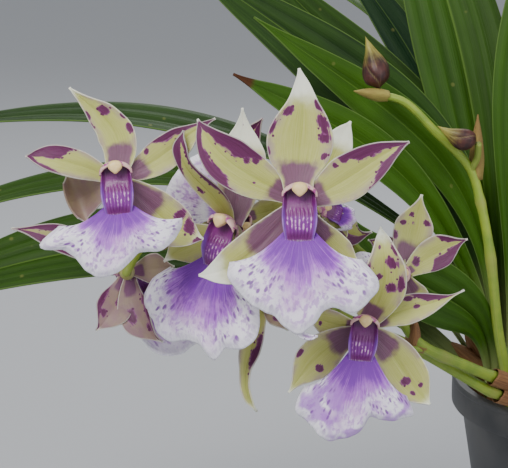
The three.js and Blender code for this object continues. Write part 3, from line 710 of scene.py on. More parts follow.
class Paint:
    """A material and its nodes."""

    def __init__(self, name):
        self.material = bpy.data.materials.new(name)
        self.material.use_nodes = True
        self.tree = self.material.node_tree
        self.shader = next(n for n in self.tree.nodes if n.type == "BSDF_PRINCIPLED")

    def feed(self, socket, value):
        if isinstance(value, Wire):
            self.tree.links.new(value.socket, socket)
        elif isinstance(value, (tuple, list)) and socket.type == "RGBA" and len(value) == 3:
            socket.default_value = (*value, 1)
        else:
            socket.default_value = value

    def node(self, kind, settings=None, *values, output=0, **named):
        """A node's output: settings first, then values by order and by socket name."""
        made = self.tree.nodes.new(kind)
        for name, value in (settings or {}).items():
            setattr(made, name, value)
        for socket, value in zip(made.inputs, values):
            self.feed(socket, value)
        for name, value in named.items():
            self.feed(made.inputs[name.replace("_", " ")], value)
        return Wire(self, made.outputs[output])

    def fact(self, name):
        """A named value of the piece's points."""
        return self.node("ShaderNodeAttribute", {"attribute_name": name}, output="Fac")

    def place(self):
        return self.node("ShaderNodeTexCoord", output="Object")

    def split(self, vector):
        made = self.tree.nodes.new("ShaderNodeSeparateXYZ")
        self.feed(made.inputs[0], vector)
        return tuple(Wire(self, socket) for socket in made.outputs)

    def uv(self):
        u, v, _ = self.split(self.node("ShaderNodeUVMap", {"uv_map": "UVMap"}))
        return u, v

    def vector(self, x, y, z=0.0):
        return self.node("ShaderNodeCombineXYZ", None, x, y, z)

    def noise(self, vector, scale, detail=2.0, roughness=0.5, distortion=0.0):
        return self.node(
            "ShaderNodeTexNoise", None, output=0,
            Vector=vector, Scale=scale, Detail=detail, Roughness=roughness, Distortion=distortion,
        )

    def cells(self, vector, scale, output="Distance"):
        return self.node("ShaderNodeTexVoronoi", None, output=output, Vector=vector, Scale=scale)

    def mix(self, factor, a, b):
        """Colour a, with b over it by the factor."""
        made = self.tree.nodes.new("ShaderNodeMix")
        made.data_type = "RGBA"
        for name, value in (("factor", factor), ("a", a), ("b", b)):
            self.feed(made.inputs[MIX_SOCKETS[name]], value)
        return Wire(self, made.outputs[MIX_SOCKETS["result"]])

    def bump(self, height, distance, strength):
        return self.node(
            "ShaderNodeBump", None, output=0, Height=height, Distance=distance, Strength=strength
        )

    def finish(self, **inputs):
        """Sets the shader's sockets and gives back the material."""
        for name, value in inputs.items():
            self.feed(self.shader.inputs[name.replace("_", " ")], value)
        return self.material


def colour(name, default, description):
    return bpy.props.FloatVectorProperty(
        name=name, description=description, default=default, subtype="COLOR", min=0, max=1
    )


class OrchidColours(bpy.types.PropertyGroup):
    tepal: colour("Tepal", (0.36, 0.38, 0.07), "Yellow-green of the sepals and petals")
    tepal_cream: colour("Tepal cream", (0.62, 0.6, 0.28), "Their paler parts")
    tepal_white: colour("Tepal white", (0.84, 0.85, 0.72), "Their tips and thin edges")
    mark: colour("Mark", (0.085, 0.004, 0.05), "Blotches and margins")
    mark_halo: colour("Mark halo", (0.24, 0.055, 0.2), "The thin rim of a blotch")
    stain: colour("Stain", (0.11, 0.024, 0.09), "The stain at a tepal's foot")
    blush: colour("Blush", (0.26, 0.14, 0.17), "The back of an older sepal")
    lip_white: colour("Lip white", (0.87, 0.84, 0.93), "The lip's margin")
    lip_lilac: colour("Lip lilac", (0.38, 0.1, 0.6), "Where the lip's violet fades")
    lip_violet: colour("Lip violet", (0.18, 0.02, 0.37), "The lip's centre and its veins")
    throat: colour("Throat", (0.14, 0.006, 0.13), "Deep magenta of the throat")
    cap: colour("Cap", (0.8, 0.58, 0.26), "The anther cap")
    leaf_dark: colour("Leaf dark", (0.004, 0.016, 0.002), "Shaded leaf")
    leaf_bright: colour("Leaf bright", (0.035, 0.098, 0.002), "Sunlit leaf")
    stem: colour("Stem", (0.25, 0.34, 0.03), "Flower spikes")
    dry: colour("Dry", (0.14, 0.05, 0.018), "Dry bracts and leaf tips")
    bark: colour("Bark", (0.16, 0.07, 0.03), "Bark chips")
    pot: colour("Pot", (0.022, 0.024, 0.027), "The pot's plastic")
    floor: colour("Floor", (0.42, 0.43, 0.45), "The floor under the pot")


class OrchidSizes(bpy.types.PropertyGroup):
    petal_thickness: bpy.props.FloatProperty(
        name="Petal thickness", description="Millimetres through a petal", default=0.5, min=0.2, max=2
    )
    leaf_thickness: bpy.props.FloatProperty(
        name="Leaf thickness", description="Millimetres through a leaf", default=0.6, min=0.2, max=2
    )
    chips: bpy.props.IntProperty(
        name="Bark chips", description="How many chips lie on top", default=420, min=0, max=900
    )
    seed: bpy.props.IntProperty(name="Seed", description="Start of every random draw", default=11)


def colours():
    return bpy.context.scene.orchid_colours


def tepal_finish():
    """Waxy yellow-green with fine veins, purple marks, a stained foot and a thin white edge."""
    paint = Paint("tepal_waxy")
    tone = colours()
    midrib = (0.3, 0.33, 0.05)
    mauve = (0.3, 0.2, 0.24)
    u, v = paint.uv()
    place = paint.place()
    across = abs(u * 2 - 1)
    veins = paint.noise(paint.vector(u * 46, v * 2.5, paint.fact("seed")), 1.0, 3, 0.6)
    cloud = paint.noise(place, 260, 3, 0.55)
    rim = paint.noise(place, 620, 2, 0.5)
    lump = paint.noise(place, 220, 2, 0.5)
    cream = (across * across * 0.38 + cloud * 0.25 - 0.06 + v * 0.06).clamped()
    body = paint.mix(cream, tuple(tone.tepal), tuple(tone.tepal_cream))
    body = paint.mix(veins.between(0.35, 0.75) * 0.3, body, tuple(tone.tepal_cream))
    body = paint.mix(across.between(0.08, 0.0) * 0.4, body, midrib)
    body = paint.mix(across.between(0.5, 1.0) * cloud.between(0.35, 0.62) * 0.75, body, mauve)
    body = paint.mix(paint.fact("blush") * (0.6 + cloud * 0.6), body, tuple(tone.blush))
    white = (paint.fact("pale") + (cloud - 0.5) * 0.5).between(0.1, 0.9)
    body = paint.mix(white, body, tuple(tone.tepal_white))
    stain = (paint.fact("patch") + (rim - 0.5) * 0.3 + (lump - 0.5) * 0.9).between(-0.3, 0.35)
    streaks = veins.between(0.3, 0.7)
    stained = paint.mix(streaks * 0.4, tuple(tone.stain), tuple(tone.mark_halo))
    body = paint.mix(stain * 0.92, body, stained)
    near = paint.fact("mark")
    dots = paint.cells(place, 520).between(0.3, 0.18) * near.between(-0.7, -0.25)
    mark = near + (lump - 0.5) * 1.4 + (rim - 0.5) * 0.4 + (veins - 0.5) * 1.3 + dots * 0.9
    inner = paint.mix(streaks * 0.25, tuple(tone.mark), tuple(tone.mark_halo))
    spot = paint.mix(mark.between(0.02, 0.32), tuple(tone.mark_halo), inner)
    body = paint.mix(mark.between(-0.06, 0.1), body, spot)
    edge = (paint.fact("edge") + (rim - 0.5) * 0.12).between(0.32, 0.1)
    body = paint.mix(edge * 0.42, body, tuple(tone.tepal_white))
    height = veins * 0.6 + cloud * 0.4
    return paint.finish(
        Base_Color=body,
        Roughness=0.36 + veins * 0.16,
        Normal=paint.bump(height, 0.0006, 0.5),
        Subsurface_Weight=0.12,
        Subsurface_Radius=(1, 0.7, 0.5),
        Subsurface_Scale=0.0015,
        Specular_IOR_Level=0.45,
    )


def lip_finish():
    """White with violet veins that fade from the neck, and lilac mottling and dashes towards the margin."""
    paint = Paint("lip_veined")
    tone = colours()
    flush_lilac = (0.5, 0.2, 0.6)
    mottle_violet = (0.38, 0.14, 0.55)
    blotch_violet = (0.38, 0.13, 0.58)
    dash_purple = (0.18, 0.04, 0.3)
    fringe_grey = (0.42, 0.37, 0.52)
    u, v = paint.uv()
    seed = paint.fact("seed")
    turn = u * 2 - 1
    side = abs(turn)
    place = paint.place()
    wander = (paint.noise(place, 180, 2) - 0.5) * 0.05
    veins = paint.noise(paint.vector((u + wander) * 46, v * 1.3, seed), 1.0, 3, 0.62)
    fine = paint.noise(paint.vector((u + wander) * 110, v * 3, seed), 1.0, 2, 0.6)
    cloud = paint.noise(place, 210, 3, 0.6)
    broad = paint.noise(place, 110, 2, 0.5)
    reach = v + (cloud - 0.5) * 0.34 + side * side * 0.14 - paint.fact("violet")
    strength = reach.between(0.85, 0.15)
    streak = (veins * 0.65 + fine * 0.35).between(0.34, 0.62)
    violet = (strength * (0.75 + streak * 0.5)).clamped()
    base = paint.mix(violet.between(0.1, 0.62), tuple(tone.lip_white), tuple(tone.lip_lilac))
    base = paint.mix(violet.between(0.5, 0.95), base, tuple(tone.lip_violet))
    flush = v.between(0.3, 0.55) * v.between(1.0, 0.7) * side.between(0.8, 0.2)
    flush = flush * (0.3 + cloud.between(0.38, 0.62) * 0.7)
    base = paint.mix(flush * 0.7, base, flush_lilac)
    net = paint.noise(paint.vector((u + wander) * 30, v * 11, seed + 3), 1.0, 3, 0.6)
    mottle = net.between(0.48, 0.62) * v.between(0.28, 0.5) * v.between(1.0, 0.84)
    base = paint.mix(mottle * 0.65, base, mottle_violet)
    blotch = broad.between(0.47, 0.58) * v.between(0.3, 0.5) * paint.fact("blotch")
    base = paint.mix(blotch * 0.8, base, blotch_violet)
    grid = paint.vector(turn * 15 + seed * 5 + wander * 8, v * 7.5, seed)
    spots = paint.cells(grid, 1.0) + paint.noise(place, 500, 1) * 0.22
    chance = paint.split(paint.cells(grid, 1.0, "Color"))[0]
    where = v.between(0.36, 0.52) * v.between(0.98, 0.86) * (0.3 + side.between(0.12, 0.45) * 0.7)
    spot = spots.between(0.5, 0.32) * chance.between(0.14, 0.26) * where
    base = paint.mix(spot * 0.9, base, dash_purple)
    fringe = v.between(0.8, 0.97) * fine.between(0.42, 0.6) * 0.25
    base = paint.mix(fringe, base, fringe_grey)
    height = veins * v.between(1.0, 0.4) * 0.7 + cloud * 0.5
    return paint.finish(
        Base_Color=base,
        Roughness=0.42 + fine * 0.15,
        Normal=paint.bump(height, 0.0008, 0.6),
        Subsurface_Weight=0.15,
        Subsurface_Radius=(0.9, 0.8, 1),
        Subsurface_Scale=0.0015,
        Specular_IOR_Level=0.4,
    )


def throat_finish():
    """Deep magenta with painted shade under the hood, pale streaks on the pad's ridges, and violet side
    walls.
    """
    paint = Paint("throat_ridged")
    tone = colours()
    recess = (0.06, 0.003, 0.05)
    streak_pink = (0.36, 0.05, 0.32)
    pad_violet = (0.22, 0.03, 0.32)
    ridge_pale = (0.64, 0.36, 0.62)
    wall_violet = (0.2, 0.06, 0.42)
    rim_lilac = (0.5, 0.3, 0.66)
    teeth_pale = (0.76, 0.6, 0.84)
    u, v = paint.uv()
    side = abs(u * 2 - 1)
    place = paint.place()
    fine = paint.noise(paint.vector(u * 50, v * 6), 1.0, 2)
    cloud = paint.noise(place, 700, 2)
    ridge = paint.fact("ridge")
    # Painted shade: the top of the throat, under the hood, darkens to a deeper magenta.
    base = paint.mix(v.between(0.08, 0.3), recess, tuple(tone.throat))
    base = paint.mix(fine.between(0.4, 0.7) * 0.2, base, streak_pink)
    base = paint.mix(v.between(0.5, 0.6) * v.between(0.92, 0.78) * 0.6, base, pad_violet)
    broken = cloud.between(0.36, 0.5)
    pale = (ridge + (cloud - 0.5) * 1.8).between(0.84, 1.12) * v.between(0.54, 0.6) * v.between(0.86, 0.74)
    base = paint.mix(pale * broken * side.between(0.86, 0.74), base, ridge_pale)
    wall = side.between(0.8, 0.94) * v.between(0.25, 0.55)
    base = paint.mix(wall * 0.85, base, wall_violet)
    rim = side.between(0.94, 1.0) * v.between(0.5, 0.7)
    base = paint.mix(rim * 0.5, base, rim_lilac)
    teeth = v.between(0.95, 0.99) * fine.between(0.42, 0.58)
    base = paint.mix(teeth * 0.7, base, teeth_pale)
    return paint.finish(
        Base_Color=base,
        Roughness=0.3 + cloud * 0.15,
        Normal=paint.bump(fine * 0.5 + cloud * 0.5, 0.0005, 0.5),
        Coat_Weight=0.15,
        Subsurface_Weight=0.08,
        Subsurface_Radius=(1, 0.4, 0.9),
        Subsurface_Scale=0.001,
    )


def hood_finish():
    """The column's hood: creamy pink and purple above. Painted shade streaked with magenta goes inside
    where the inner value is above 0, and the hood sets it to 0 all over.
    """
    paint = Paint("column_hood")
    cream_pink = (0.66, 0.42, 0.38)
    purple = (0.36, 0.1, 0.26)
    rim_purple = (0.36, 0.05, 0.24)
    painted_inside_shade = (0.1, 0.004, 0.08)
    inside_magenta = (0.22, 0.02, 0.2)
    u, v = paint.uv()
    place = paint.place()
    cloud = paint.noise(place, 600, 3, 0.6)
    streaks = paint.noise(paint.vector(u * 30, v * 3), 1.0, 2)
    inner = paint.fact("inner")
    outer = paint.mix(cloud.between(0.35, 0.65), cream_pink, purple)
    band = v.between(0.76, 0.86)
    rim = paint.mix(cloud.between(0.48, 0.6), cream_pink, rim_purple)
    outer = paint.mix(band, outer, rim)
    # Painted shade inside the hood, streaked with magenta; it shows only where the inner value is above 0.
    base = paint.mix(inner, outer, paint.mix(streaks * 0.5, painted_inside_shade, inside_magenta))
    return paint.finish(
        Base_Color=base,
        Roughness=0.34 + cloud * 0.15,
        Normal=paint.bump(streaks * 0.5 + cloud * 0.5, 0.0005, 0.5),
        Subsurface_Weight=0.1,
        Subsurface_Radius=(1, 0.5, 0.5),
        Subsurface_Scale=0.001,
    )


def cap_finish():
    """The anther cap: waxy cream, a little browner low down."""
    paint = Paint("anther_cap")
    tone = colours()
    pale_cream = (0.86, 0.72, 0.44)
    beak_brown = (0.6, 0.34, 0.22)
    u, v = paint.uv()
    cloud = paint.noise(paint.place(), 900, 3, 0.6)
    base = paint.mix(cloud.between(0.45, 0.75) * 0.5, tuple(tone.cap), pale_cream)
    base = paint.mix(v.between(0.75, 0.95) * 0.6, base, beak_brown)
    return paint.finish(
        Base_Color=base,
        Roughness=0.3 + cloud * 0.2,
        Normal=paint.bump(cloud, 0.0004, 0.5),
        Subsurface_Weight=0.2,
        Subsurface_Radius=(1, 0.8, 0.4),
        Subsurface_Scale=0.0015,
    )


def leaf_finish():
    """Glossy green, striped by its veins, with painted shade in its pleats and dry brown tips. Painted
    light and shade differ leaf by leaf.
    """
    paint = Paint("leaf_pleated")
    tone = colours()
    deep_shade = (0.004, 0.028, 0.013)
    pale_stripe = (0.08, 0.16, 0.015)
    midrib = (0.13, 0.24, 0.03)
    pale_edge = (0.14, 0.24, 0.05)
    pale_foot = (0.3, 0.34, 0.12)
    dead_tip = (0.07, 0.025, 0.01)
    fleck_straw = (0.2, 0.2, 0.05)
    u, v = paint.uv()
    seed = paint.fact("seed")
    sun = paint.fact("sun")
    place = paint.place()
    stripes = paint.noise(paint.vector(u * 34, v * 0.8, seed), 1.0, 3, 0.65)
    fine = paint.noise(paint.vector(u * 150, v * 3, seed), 1.0, 2, 0.6)
    cloud = paint.noise(place, 22, 4, 0.6)
    pleat = paint.fact("pleat")
    # Painted light and shade: each leaf's sun value sets how lit it is painted, and its pleats' grooves take
    # painted shade.
    light = (sun + (cloud - 0.5) * 0.7 + (stripes - 0.5) * 0.3 + pleat * 0.08).clamped()
    base = paint.mix(light, tuple(tone.leaf_dark), tuple(tone.leaf_bright))
    base = paint.mix(sun.between(0.34, 0.2) * 0.55, base, deep_shade)
    base = paint.mix(fine.between(0.5, 0.75) * 0.18, base, pale_stripe)
    base = paint.mix(abs(u * 2 - 1).between(0.05, 0.0) * 0.4, base, midrib)
    base = paint.mix(paint.fact("edge").between(0.5, 0.15) * 0.5, base, pale_edge)
    yellow = v.between(0.22, 0.0) * 0.7
    base = paint.mix(yellow, base, pale_foot)
    dry = (paint.fact("dry") + (paint.noise(place, 160, 3) - 0.5) * 0.6).between(0.2, 0.5)
    base = paint.mix(dry, base, dead_tip)
    flecks = paint.cells(place, 90).between(0.1, 0.05) * 0.35
    base = paint.mix(flecks, base, fleck_straw)
    return paint.finish(
        Base_Color=base,
        Roughness=(0.42 + fine * 0.16 + dry * 0.3 + (1 - light) * 0.06),
        Normal=paint.bump(stripes * 0.7 + fine * 0.3, 0.0009, 0.55),
        Specular_IOR_Level=0.18,
    )


def stem_finish():
    """Bright yellow-green with faint ribs, flecks and browner joints."""
    paint = Paint("stem_green")
    tone = colours()
    shaded = (0.16, 0.26, 0.025)
    pale_rib = (0.38, 0.42, 0.1)
    stalk_tan = (0.3, 0.26, 0.1)
    fleck_brown = (0.16, 0.08, 0.03)
    joint_brown = (0.3, 0.26, 0.08)
    u, v = paint.uv()
    place = paint.place()
    cloud = paint.noise(place, 130, 4, 0.6)
    ribs = paint.noise(paint.vector(u * 22, v * 5), 1.0, 2)
    base = paint.mix(cloud.between(0.3, 0.75), tuple(tone.stem), shaded)
    base = paint.mix(ribs.between(0.5, 0.75) * 0.3, base, pale_rib)
    base = paint.mix(paint.fact("flower_end") * 0.5, base, stalk_tan)
    flecks = paint.cells(place, 420).between(0.14, 0.06) * paint.noise(place, 60, 1).between(0.5, 0.65)
    base = paint.mix(flecks * 0.6, base, fleck_brown)
    base = paint.mix(paint.fact("joint") * 0.4, base, joint_brown)
    return paint.finish(
        Base_Color=base,
        Roughness=0.36 + cloud * 0.2,
        Normal=paint.bump(ribs * 0.6 + cloud * 0.5, 0.0006, 0.6),
        Subsurface_Weight=0.05,
        Subsurface_Scale=0.002,
    )


def papery_finish():
    """Dry bracts and sheaths: fibrous straw to red-brown."""
    paint = Paint("bract_papery")
    tone = colours()
    green_straw = (0.36, 0.34, 0.06)
    gold_straw = (0.4, 0.3, 0.08)
    tan_fibre = (0.34, 0.17, 0.06)
    dark_fibre = (0.1, 0.04, 0.02)
    u, v = paint.uv()
    place = paint.place()
    fibres = paint.noise(paint.vector(u * 60, v * 2.4, paint.fact("seed")), 1.0, 3, 0.65)
    cloud = paint.noise(place, 130, 4, 0.6)
    fresh = paint.mix(cloud, green_straw, gold_straw)
    old = paint.mix(fibres.between(0.3, 0.7), tuple(tone.dry), tan_fibre)
    dry = (paint.fact("dry") + (cloud - 0.5) * 0.6 + v * 0.25).clamped()
    base = paint.mix(dry, fresh, old)
    base = paint.mix(fibres.between(0.62, 0.8) * 0.4, base, dark_fibre)
    return paint.finish(
        Base_Color=base,
        Roughness=0.55 + fibres * 0.3,
        Normal=paint.bump(fibres, 0.0008, 0.7),
    )


def bud_finish():
    """Maroon, darker at the foot, with a yellow-green tip and veins."""
    paint = Paint("bud_maroon")
    dark_maroon = (0.025, 0.006, 0.006)
    maroon = (0.075, 0.018, 0.014)
    tip_green = (0.28, 0.25, 0.04)
    vein_tan = (0.22, 0.12, 0.06)
    seam_straw = (0.36, 0.3, 0.12)
    u, v = paint.uv()
    place = paint.place()
    veins = paint.noise(paint.vector(u * 28, v * 2.2), 1.0, 3, 0.6)
    cloud = paint.noise(place, 300, 3, 0.6)
    base = paint.mix(cloud.between(0.3, 0.7), dark_maroon, maroon)
    tip = (v + (veins - 0.5) * 0.5 + (cloud - 0.5) * 0.3).between(0.4, 0.85)
    base = paint.mix(tip, base, tip_green)
    base = paint.mix(veins.between(0.55, 0.75) * 0.4, base, vein_tan)
    base = paint.mix(paint.fact("seam").between(0.5, 1.0) * 0.3, base, seam_straw)
    return paint.finish(
        Base_Color=base,
        Roughness=0.38 + cloud * 0.2,
        Normal=paint.bump(veins * 0.6 + cloud * 0.5, 0.0006, 0.6),
    )


def bulb_finish():
    """Smooth green in patches of painted light and shade, yellower in its ribs, with fine specks."""
    paint = Paint("pseudobulb_green")
    painted_shade_green = (0.07, 0.15, 0.025)
    painted_light_green = (0.2, 0.28, 0.06)
    rib_yellow = (0.3, 0.34, 0.11)
    foot_brown = (0.2, 0.13, 0.05)
    speck = (0.06, 0.06, 0.02)
    u, v = paint.uv()
    place = paint.place()
    cloud = paint.noise(place, 55, 4, 0.6)
    fibres = paint.noise(paint.vector(u * 50, v * 1.5), 1.0, 3, 0.6)
    # Painted light and shade: lit and shaded copies of the bulb's green, mixed in soft patches.
    base = paint.mix(cloud, painted_shade_green, painted_light_green)
    base = paint.mix(fibres.between(0.5, 0.72) * 0.4, base, rib_yellow)
    base = paint.mix(v.between(0.32, 0.05) * 0.75, base, foot_brown)
    base = paint.mix(paint.cells(place, 260).between(0.12, 0.05) * 0.5, base, speck)
    return paint.finish(
        Base_Color=base,
        Roughness=0.34 + cloud * 0.25,
        Normal=paint.bump(fibres * 0.6 + cloud * 0.4, 0.0008, 0.5),
    )


def bark_finish():
    """Conifer bark: layered red-brown, pale where it broke, darker on the fill below and on some chips."""
    paint = Paint("bark_chips")
    tone = colours()
    tan_layer = (0.34, 0.17, 0.075)
    fresh_break = (0.42, 0.26, 0.14)
    deep_brown = (0.05, 0.026, 0.015)
    dark_grit = (0.04, 0.02, 0.012)
    place = paint.place()
    seed = paint.fact("seed")
    layers = paint.noise(place, 150, 5, 0.65, 0.6)
    grit = paint.noise(place, 900, 3, 0.7)
    base = paint.mix(layers.between(0.3, 0.7), tuple(tone.bark), tan_layer)
    base = paint.mix(seed.between(0.55, 0.95) * 0.6, base, fresh_break)
    # Darker brown on the fill under and between the chips, and on chips whose seed is low.
    base = paint.mix(seed.between(0.35, 0.0) * 0.7, base, deep_brown)
    base = paint.mix(grit.between(0.55, 0.75) * 0.45, base, dark_grit)
    return paint.finish(
        Base_Color=base,
        Roughness=0.78 + grit * 0.2,
        Normal=paint.bump(layers * 0.7 + grit * 0.35, 0.0018, 0.8),
    )


def pot_finish():
    """Moulded charcoal plastic: a fine grain, a faint painted sheen, dust near the rim and scuffs low down.
    """
    paint = Paint("pot_plastic")
    tone = colours()
    painted_sheen = (0.042, 0.045, 0.05)
    dust_grey = (0.16, 0.15, 0.13)
    scuff_grey = (0.14, 0.14, 0.14)
    place = paint.place()
    x, y, z = paint.split(place)
    grain = paint.noise(place, 2600, 2, 0.6)
    cloud = paint.noise(place, 16, 4, 0.6)
    scuff = paint.noise(paint.vector(x * 40, y * 40, z * 260), 1.0, 4, 0.7)
    # Painted sheen: soft patches of a lighter grey-blue over the charcoal.
    base = paint.mix(cloud.between(0.35, 0.7), tuple(tone.pot), painted_sheen)
    dust = (z + cloud * 0.03).between(0.085, 0.125) * cloud.between(0.4, 0.65)
    base = paint.mix(dust * 0.35, base, dust_grey)
    worn = scuff.between(0.64, 0.74) * (z + cloud * 0.02).between(0.05, 0.0)
    base = paint.mix(worn * 0.4, base, scuff_grey)
    return paint.finish(
        Base_Color=base,
        Roughness=0.38 + cloud * 0.14 + grain * 0.1 + worn * 0.2,
        Normal=paint.bump(grain * 0.5 + cloud * 0.3, 0.0002, 0.35),
        Specular_IOR_Level=0.5,
    )


def floor_finish():
    """Plain pale matt paper."""
    paint = Paint("floor_paper")
    tone = colours()
    grain = paint.noise(paint.place(), 700, 2)
    darker = tuple(c * 0.97 for c in tone.floor)
    return paint.finish(Base_Color=paint.mix(grain, tuple(tone.floor), darker), Roughness=0.9)


class ORCHID_OT_tepals(bpy.types.Operator):
    """Model the sepals and petals of every flower"""

    bl_idname = "orchid.tepals"
    bl_label = "Sepals and petals"

    def execute(self, context):
        finish = tepal_finish()
        for number, flower in enumerate(FLOWERS, 1):
            shape = Shape("mark", "patch", "edge", "pale", "blush", "seed")
            for index, row in enumerate(flower["tepals"]):
                self.tepal(shape, flower, index, row, number)
            self.knob(shape, flower)
            shape.piece(
                f"bloom_{number}_tepals", finish, "tepal", f"flower_{number}_tepals",
                thickness=context.scene.orchid_sizes.petal_thickness,
            )
        return {"FINISHED"}

    def tepal(self, shape, flower, index, row, number):
        at = flower_frame(flower, flower["turn"], size=1)
        right, up, forward, third, two_thirds, bow_third, bow_two_thirds, width, cup, turn, outline = row
        reach = math.hypot(right, up)
        r, u = right / reach, up / reach
        start = 0.8 * HUB * flower["size"]
        seed = number * 5 + index

        def step(share, bulge, aside):
            out = start + (reach - start) * share
            return at(r * out + u * aside, u * out - r * aside, forward * share + bulge)

        def height(s, t, half):
            groove = -0.3 * math.exp(-((t / 0.14) ** 2)) * math.sin(math.pi * s)
            frill = 0.5 * wobble(s * 5, t * 0.6, seed) * t * t * s
            return cup * half * 1.6 * t * t * (0.4 + s) + groove + frill

        front = "front" in flower
        # A petal's foot stands clear of the dorsal sepal's edge: behind it on the front flowers, before it
        # on the small ones.
        foot = (-PETAL_SET_BACK if front else PETAL_SET_FORWARD) if index in PETALS else 0
        line = [
            step(0, foot, 0),
            step(1 / 3, third, bow_third),
            step(2 / 3, two_thirds, bow_two_thirds),
            step(1, 0, 0),
        ]
        faces = at(0, 0, 1) - at(0, 0, 0)
        place, half = blade(line, width, faces, outline, turn, height)
        painted = flower["marks"][index]
        shape.surface(
            place, across=30 if front else 16, rows=60 if front else 30,
            mark=functools.partial(mark_at, painted), patch=functools.partial(patch_at, painted),
            edge=lambda u, v: half(v) * (1 - abs(2 * u - 1)),
            pale=lambda u, v: smooth(painted["pale"] - 0.05, painted["pale"] + 0.25, v),
            blush=painted["blush"], seed=seed,
        )

    def knob(self, shape, flower):
        """The knob behind the column, where the tepals meet."""
        radius = HUB * flower["size"] * 0.96
        centre = Vector(flower["at"])

        def place(u, v):
            lift, spin = math.pi * v, 2 * math.pi * u
            ring = math.sin(lift) * radius
            return centre + Vector((ring * math.cos(spin), ring * math.sin(spin), -radius * math.cos(lift)))

        verts = shape.surface(place, across=12, rows=8, edge=9, patch=-1, mark=-1, pale=0, blush=0.2, seed=0)
        bmesh.ops.remove_doubles(shape.bm, verts=verts, dist=MERGE)


def rib_angle(t):
    """The turn of the wave that makes the throat's ribs, t from -1 at one wall to 1 at the other."""
    return 10 * math.pi * t / 1.16


def mark_at(painted, u, v):
    """How far inside a blotch or a painted margin a point of a tepal is; below 0 is outside."""
    t = 2 * u - 1
    inside = -1.0
    for s0, t0, long, broad in painted["spots"]:
        inside = max(inside, 1 - math.hypot((v - s0) / long, (t - t0) / broad))
    for side, start, depth in painted["margins"]:
        if v > start - 0.08 and t * side > -0.2:
            reach = depth * smooth(start - 0.08, start + 0.16, v)
            reach += (1.02 - depth) * smooth(0.84, 0.95, v)
            inside = max(inside, 3 * (t * side - 1 + reach))
    return min(inside, 20 * (0.985 - v)) if painted["pale"] < 1 else inside


def patch_at(painted, u, v):
    """How far inside the stain at a tepal's foot a point is."""
    reach, breadth = painted["patch"]
    t = 2 * u - 1
    return 2.5 * (1 - ((v / reach) ** 5 + (abs(t) / breadth) ** 5) ** 0.2)


class ORCHID_OT_lips(bpy.types.Operator):
    """Model the broad lip and the ridged throat of every flower"""

    bl_idname = "orchid.lips"
    bl_label = "Lips and throats"

    def execute(self, context):
        lip, throat = lip_finish(), throat_finish()
        for number, flower in enumerate(FLOWERS, 1):
            at = flower_frame(flower, flower["turn"], flower["lip_turn"])
            front = "front" in flower
            shape = Shape("seed", "violet", "blotch")
            shape.surface(
                functools.partial(self.fan, flower, at, number),
                across=72 if front else 40, rows=40 if front else 22,
                seed=number * 1.7, violet=flower.get("violet", 0), blotch=flower.get("blotch", 0),
            )
            if "curl" in flower:
                shape.surface(
                    functools.partial(self.flap, at), across=6, rows=16,
                    seed=number * 1.7, violet=-1, blotch=0,
                )
            shape.piece(
                f"bloom_{number}_lip", lip, "lip", f"flower_{number}_lip",
                thickness=context.scene.orchid_sizes.petal_thickness,
            )
            shape = Shape("ridge")
            shape.surface(
                functools.partial(self.channel, at),
                across=56 if front else 28, rows=30 if front else 16,
                ridge=lambda u, v: 0.5 + 0.5 * math.cos(rib_angle(2 * u - 1)),
            )
            shape.piece(
                f"bloom_{number}_throat", throat, "column", f"flower_{number}_lip",
                thickness=THROAT_THICKNESS,
            )
        return {"FINISHED"}

    def fan(self, flower, at, number, u, v):
        """The lip: rays from the neck, arched forward, drawn back at the sides and ruffled at the rim."""
        t = 2 * u - 1
        angle = math.radians(flower["spread"]) * t
        ray = along(flower["lip"], u) * (1 + 0.018 * wobble(t * 9, 1, number) * v)
        right = 4.9 * t * (1 - v) + math.sin(angle) * ray * v
        down = math.cos(angle) * ray * v - 2.2 * abs(t) ** 3 * (1 - v) + 2.6 * math.sin(math.pi * v) * t**4
        forward = 5 + 5 * math.sin(v * 2.2) - 5.4 * v * t * t
        forward += 0.9 * math.sin(t * 13 + 0.6) * v * v
        forward += 0.8 * wobble(t * 5, v * 2, number) * v * v
        forward += 0.5 * wobble(t * 15, v, number + 3) * v**4
        forward -= 1.3 * smooth(0.9, 1, v)
        if "fold" in flower:
            middle, lift = flower["fold"]
            forward += lift * math.exp(-(((t - middle) / 0.16) ** 2)) * math.sin(math.pi * min(v * 1.1, 1))
        return at(right, -11.2 - down, forward)

    def flap(self, at, u, v):
        """The lowest edge of the lip, which curls back underneath to the right."""
        upper = along((30.2, 30.9, 31.9, 32.6, 32.8), v)
        lower = along((31.6, 33, 33.8, 34, 32.9), v)
        return at(8.2 * v - 2.2, -11 - upper - (lower - upper) * u, 6.6 - 0.8 * math.sin(math.pi * u))

    def channel(self, at, u, v):
        """The throat: a recess under the hood, then a ribbed pad, between side walls that stand forward."""
        t = 2 * u - 1
        half = along((4.9, 5.2, 5.5, 5.7, 5.6, 5.2, 4.6), v)
        up = 5.4 - 17.8 * v
        forward = along((5.6, 5.4, 5.6, 6.8, 7.4, 7.2, 5.5), v)
        forward -= 1.1 * t * t * smooth(0.3, 0.6, v) * smooth(1, 0.75, v)
        ribs = smooth(0.4, 0.5, v) * smooth(1, 0.9, v) * smooth(0.84, 0.7, abs(t))
        forward += 0.22 * ribs * math.cos(rib_angle(t))
        walls = max(abs(t) - 0.76, 0) / 0.24
        forward += 2.1 * walls**1.4 * smooth(0, 0.25, v) * smooth(0.98, 0.62, v)
        tooth = 0.7 * abs(math.sin(rib_angle(t))) * smooth(0.92, 1, v)
        return at(half * t, up - tooth, forward)


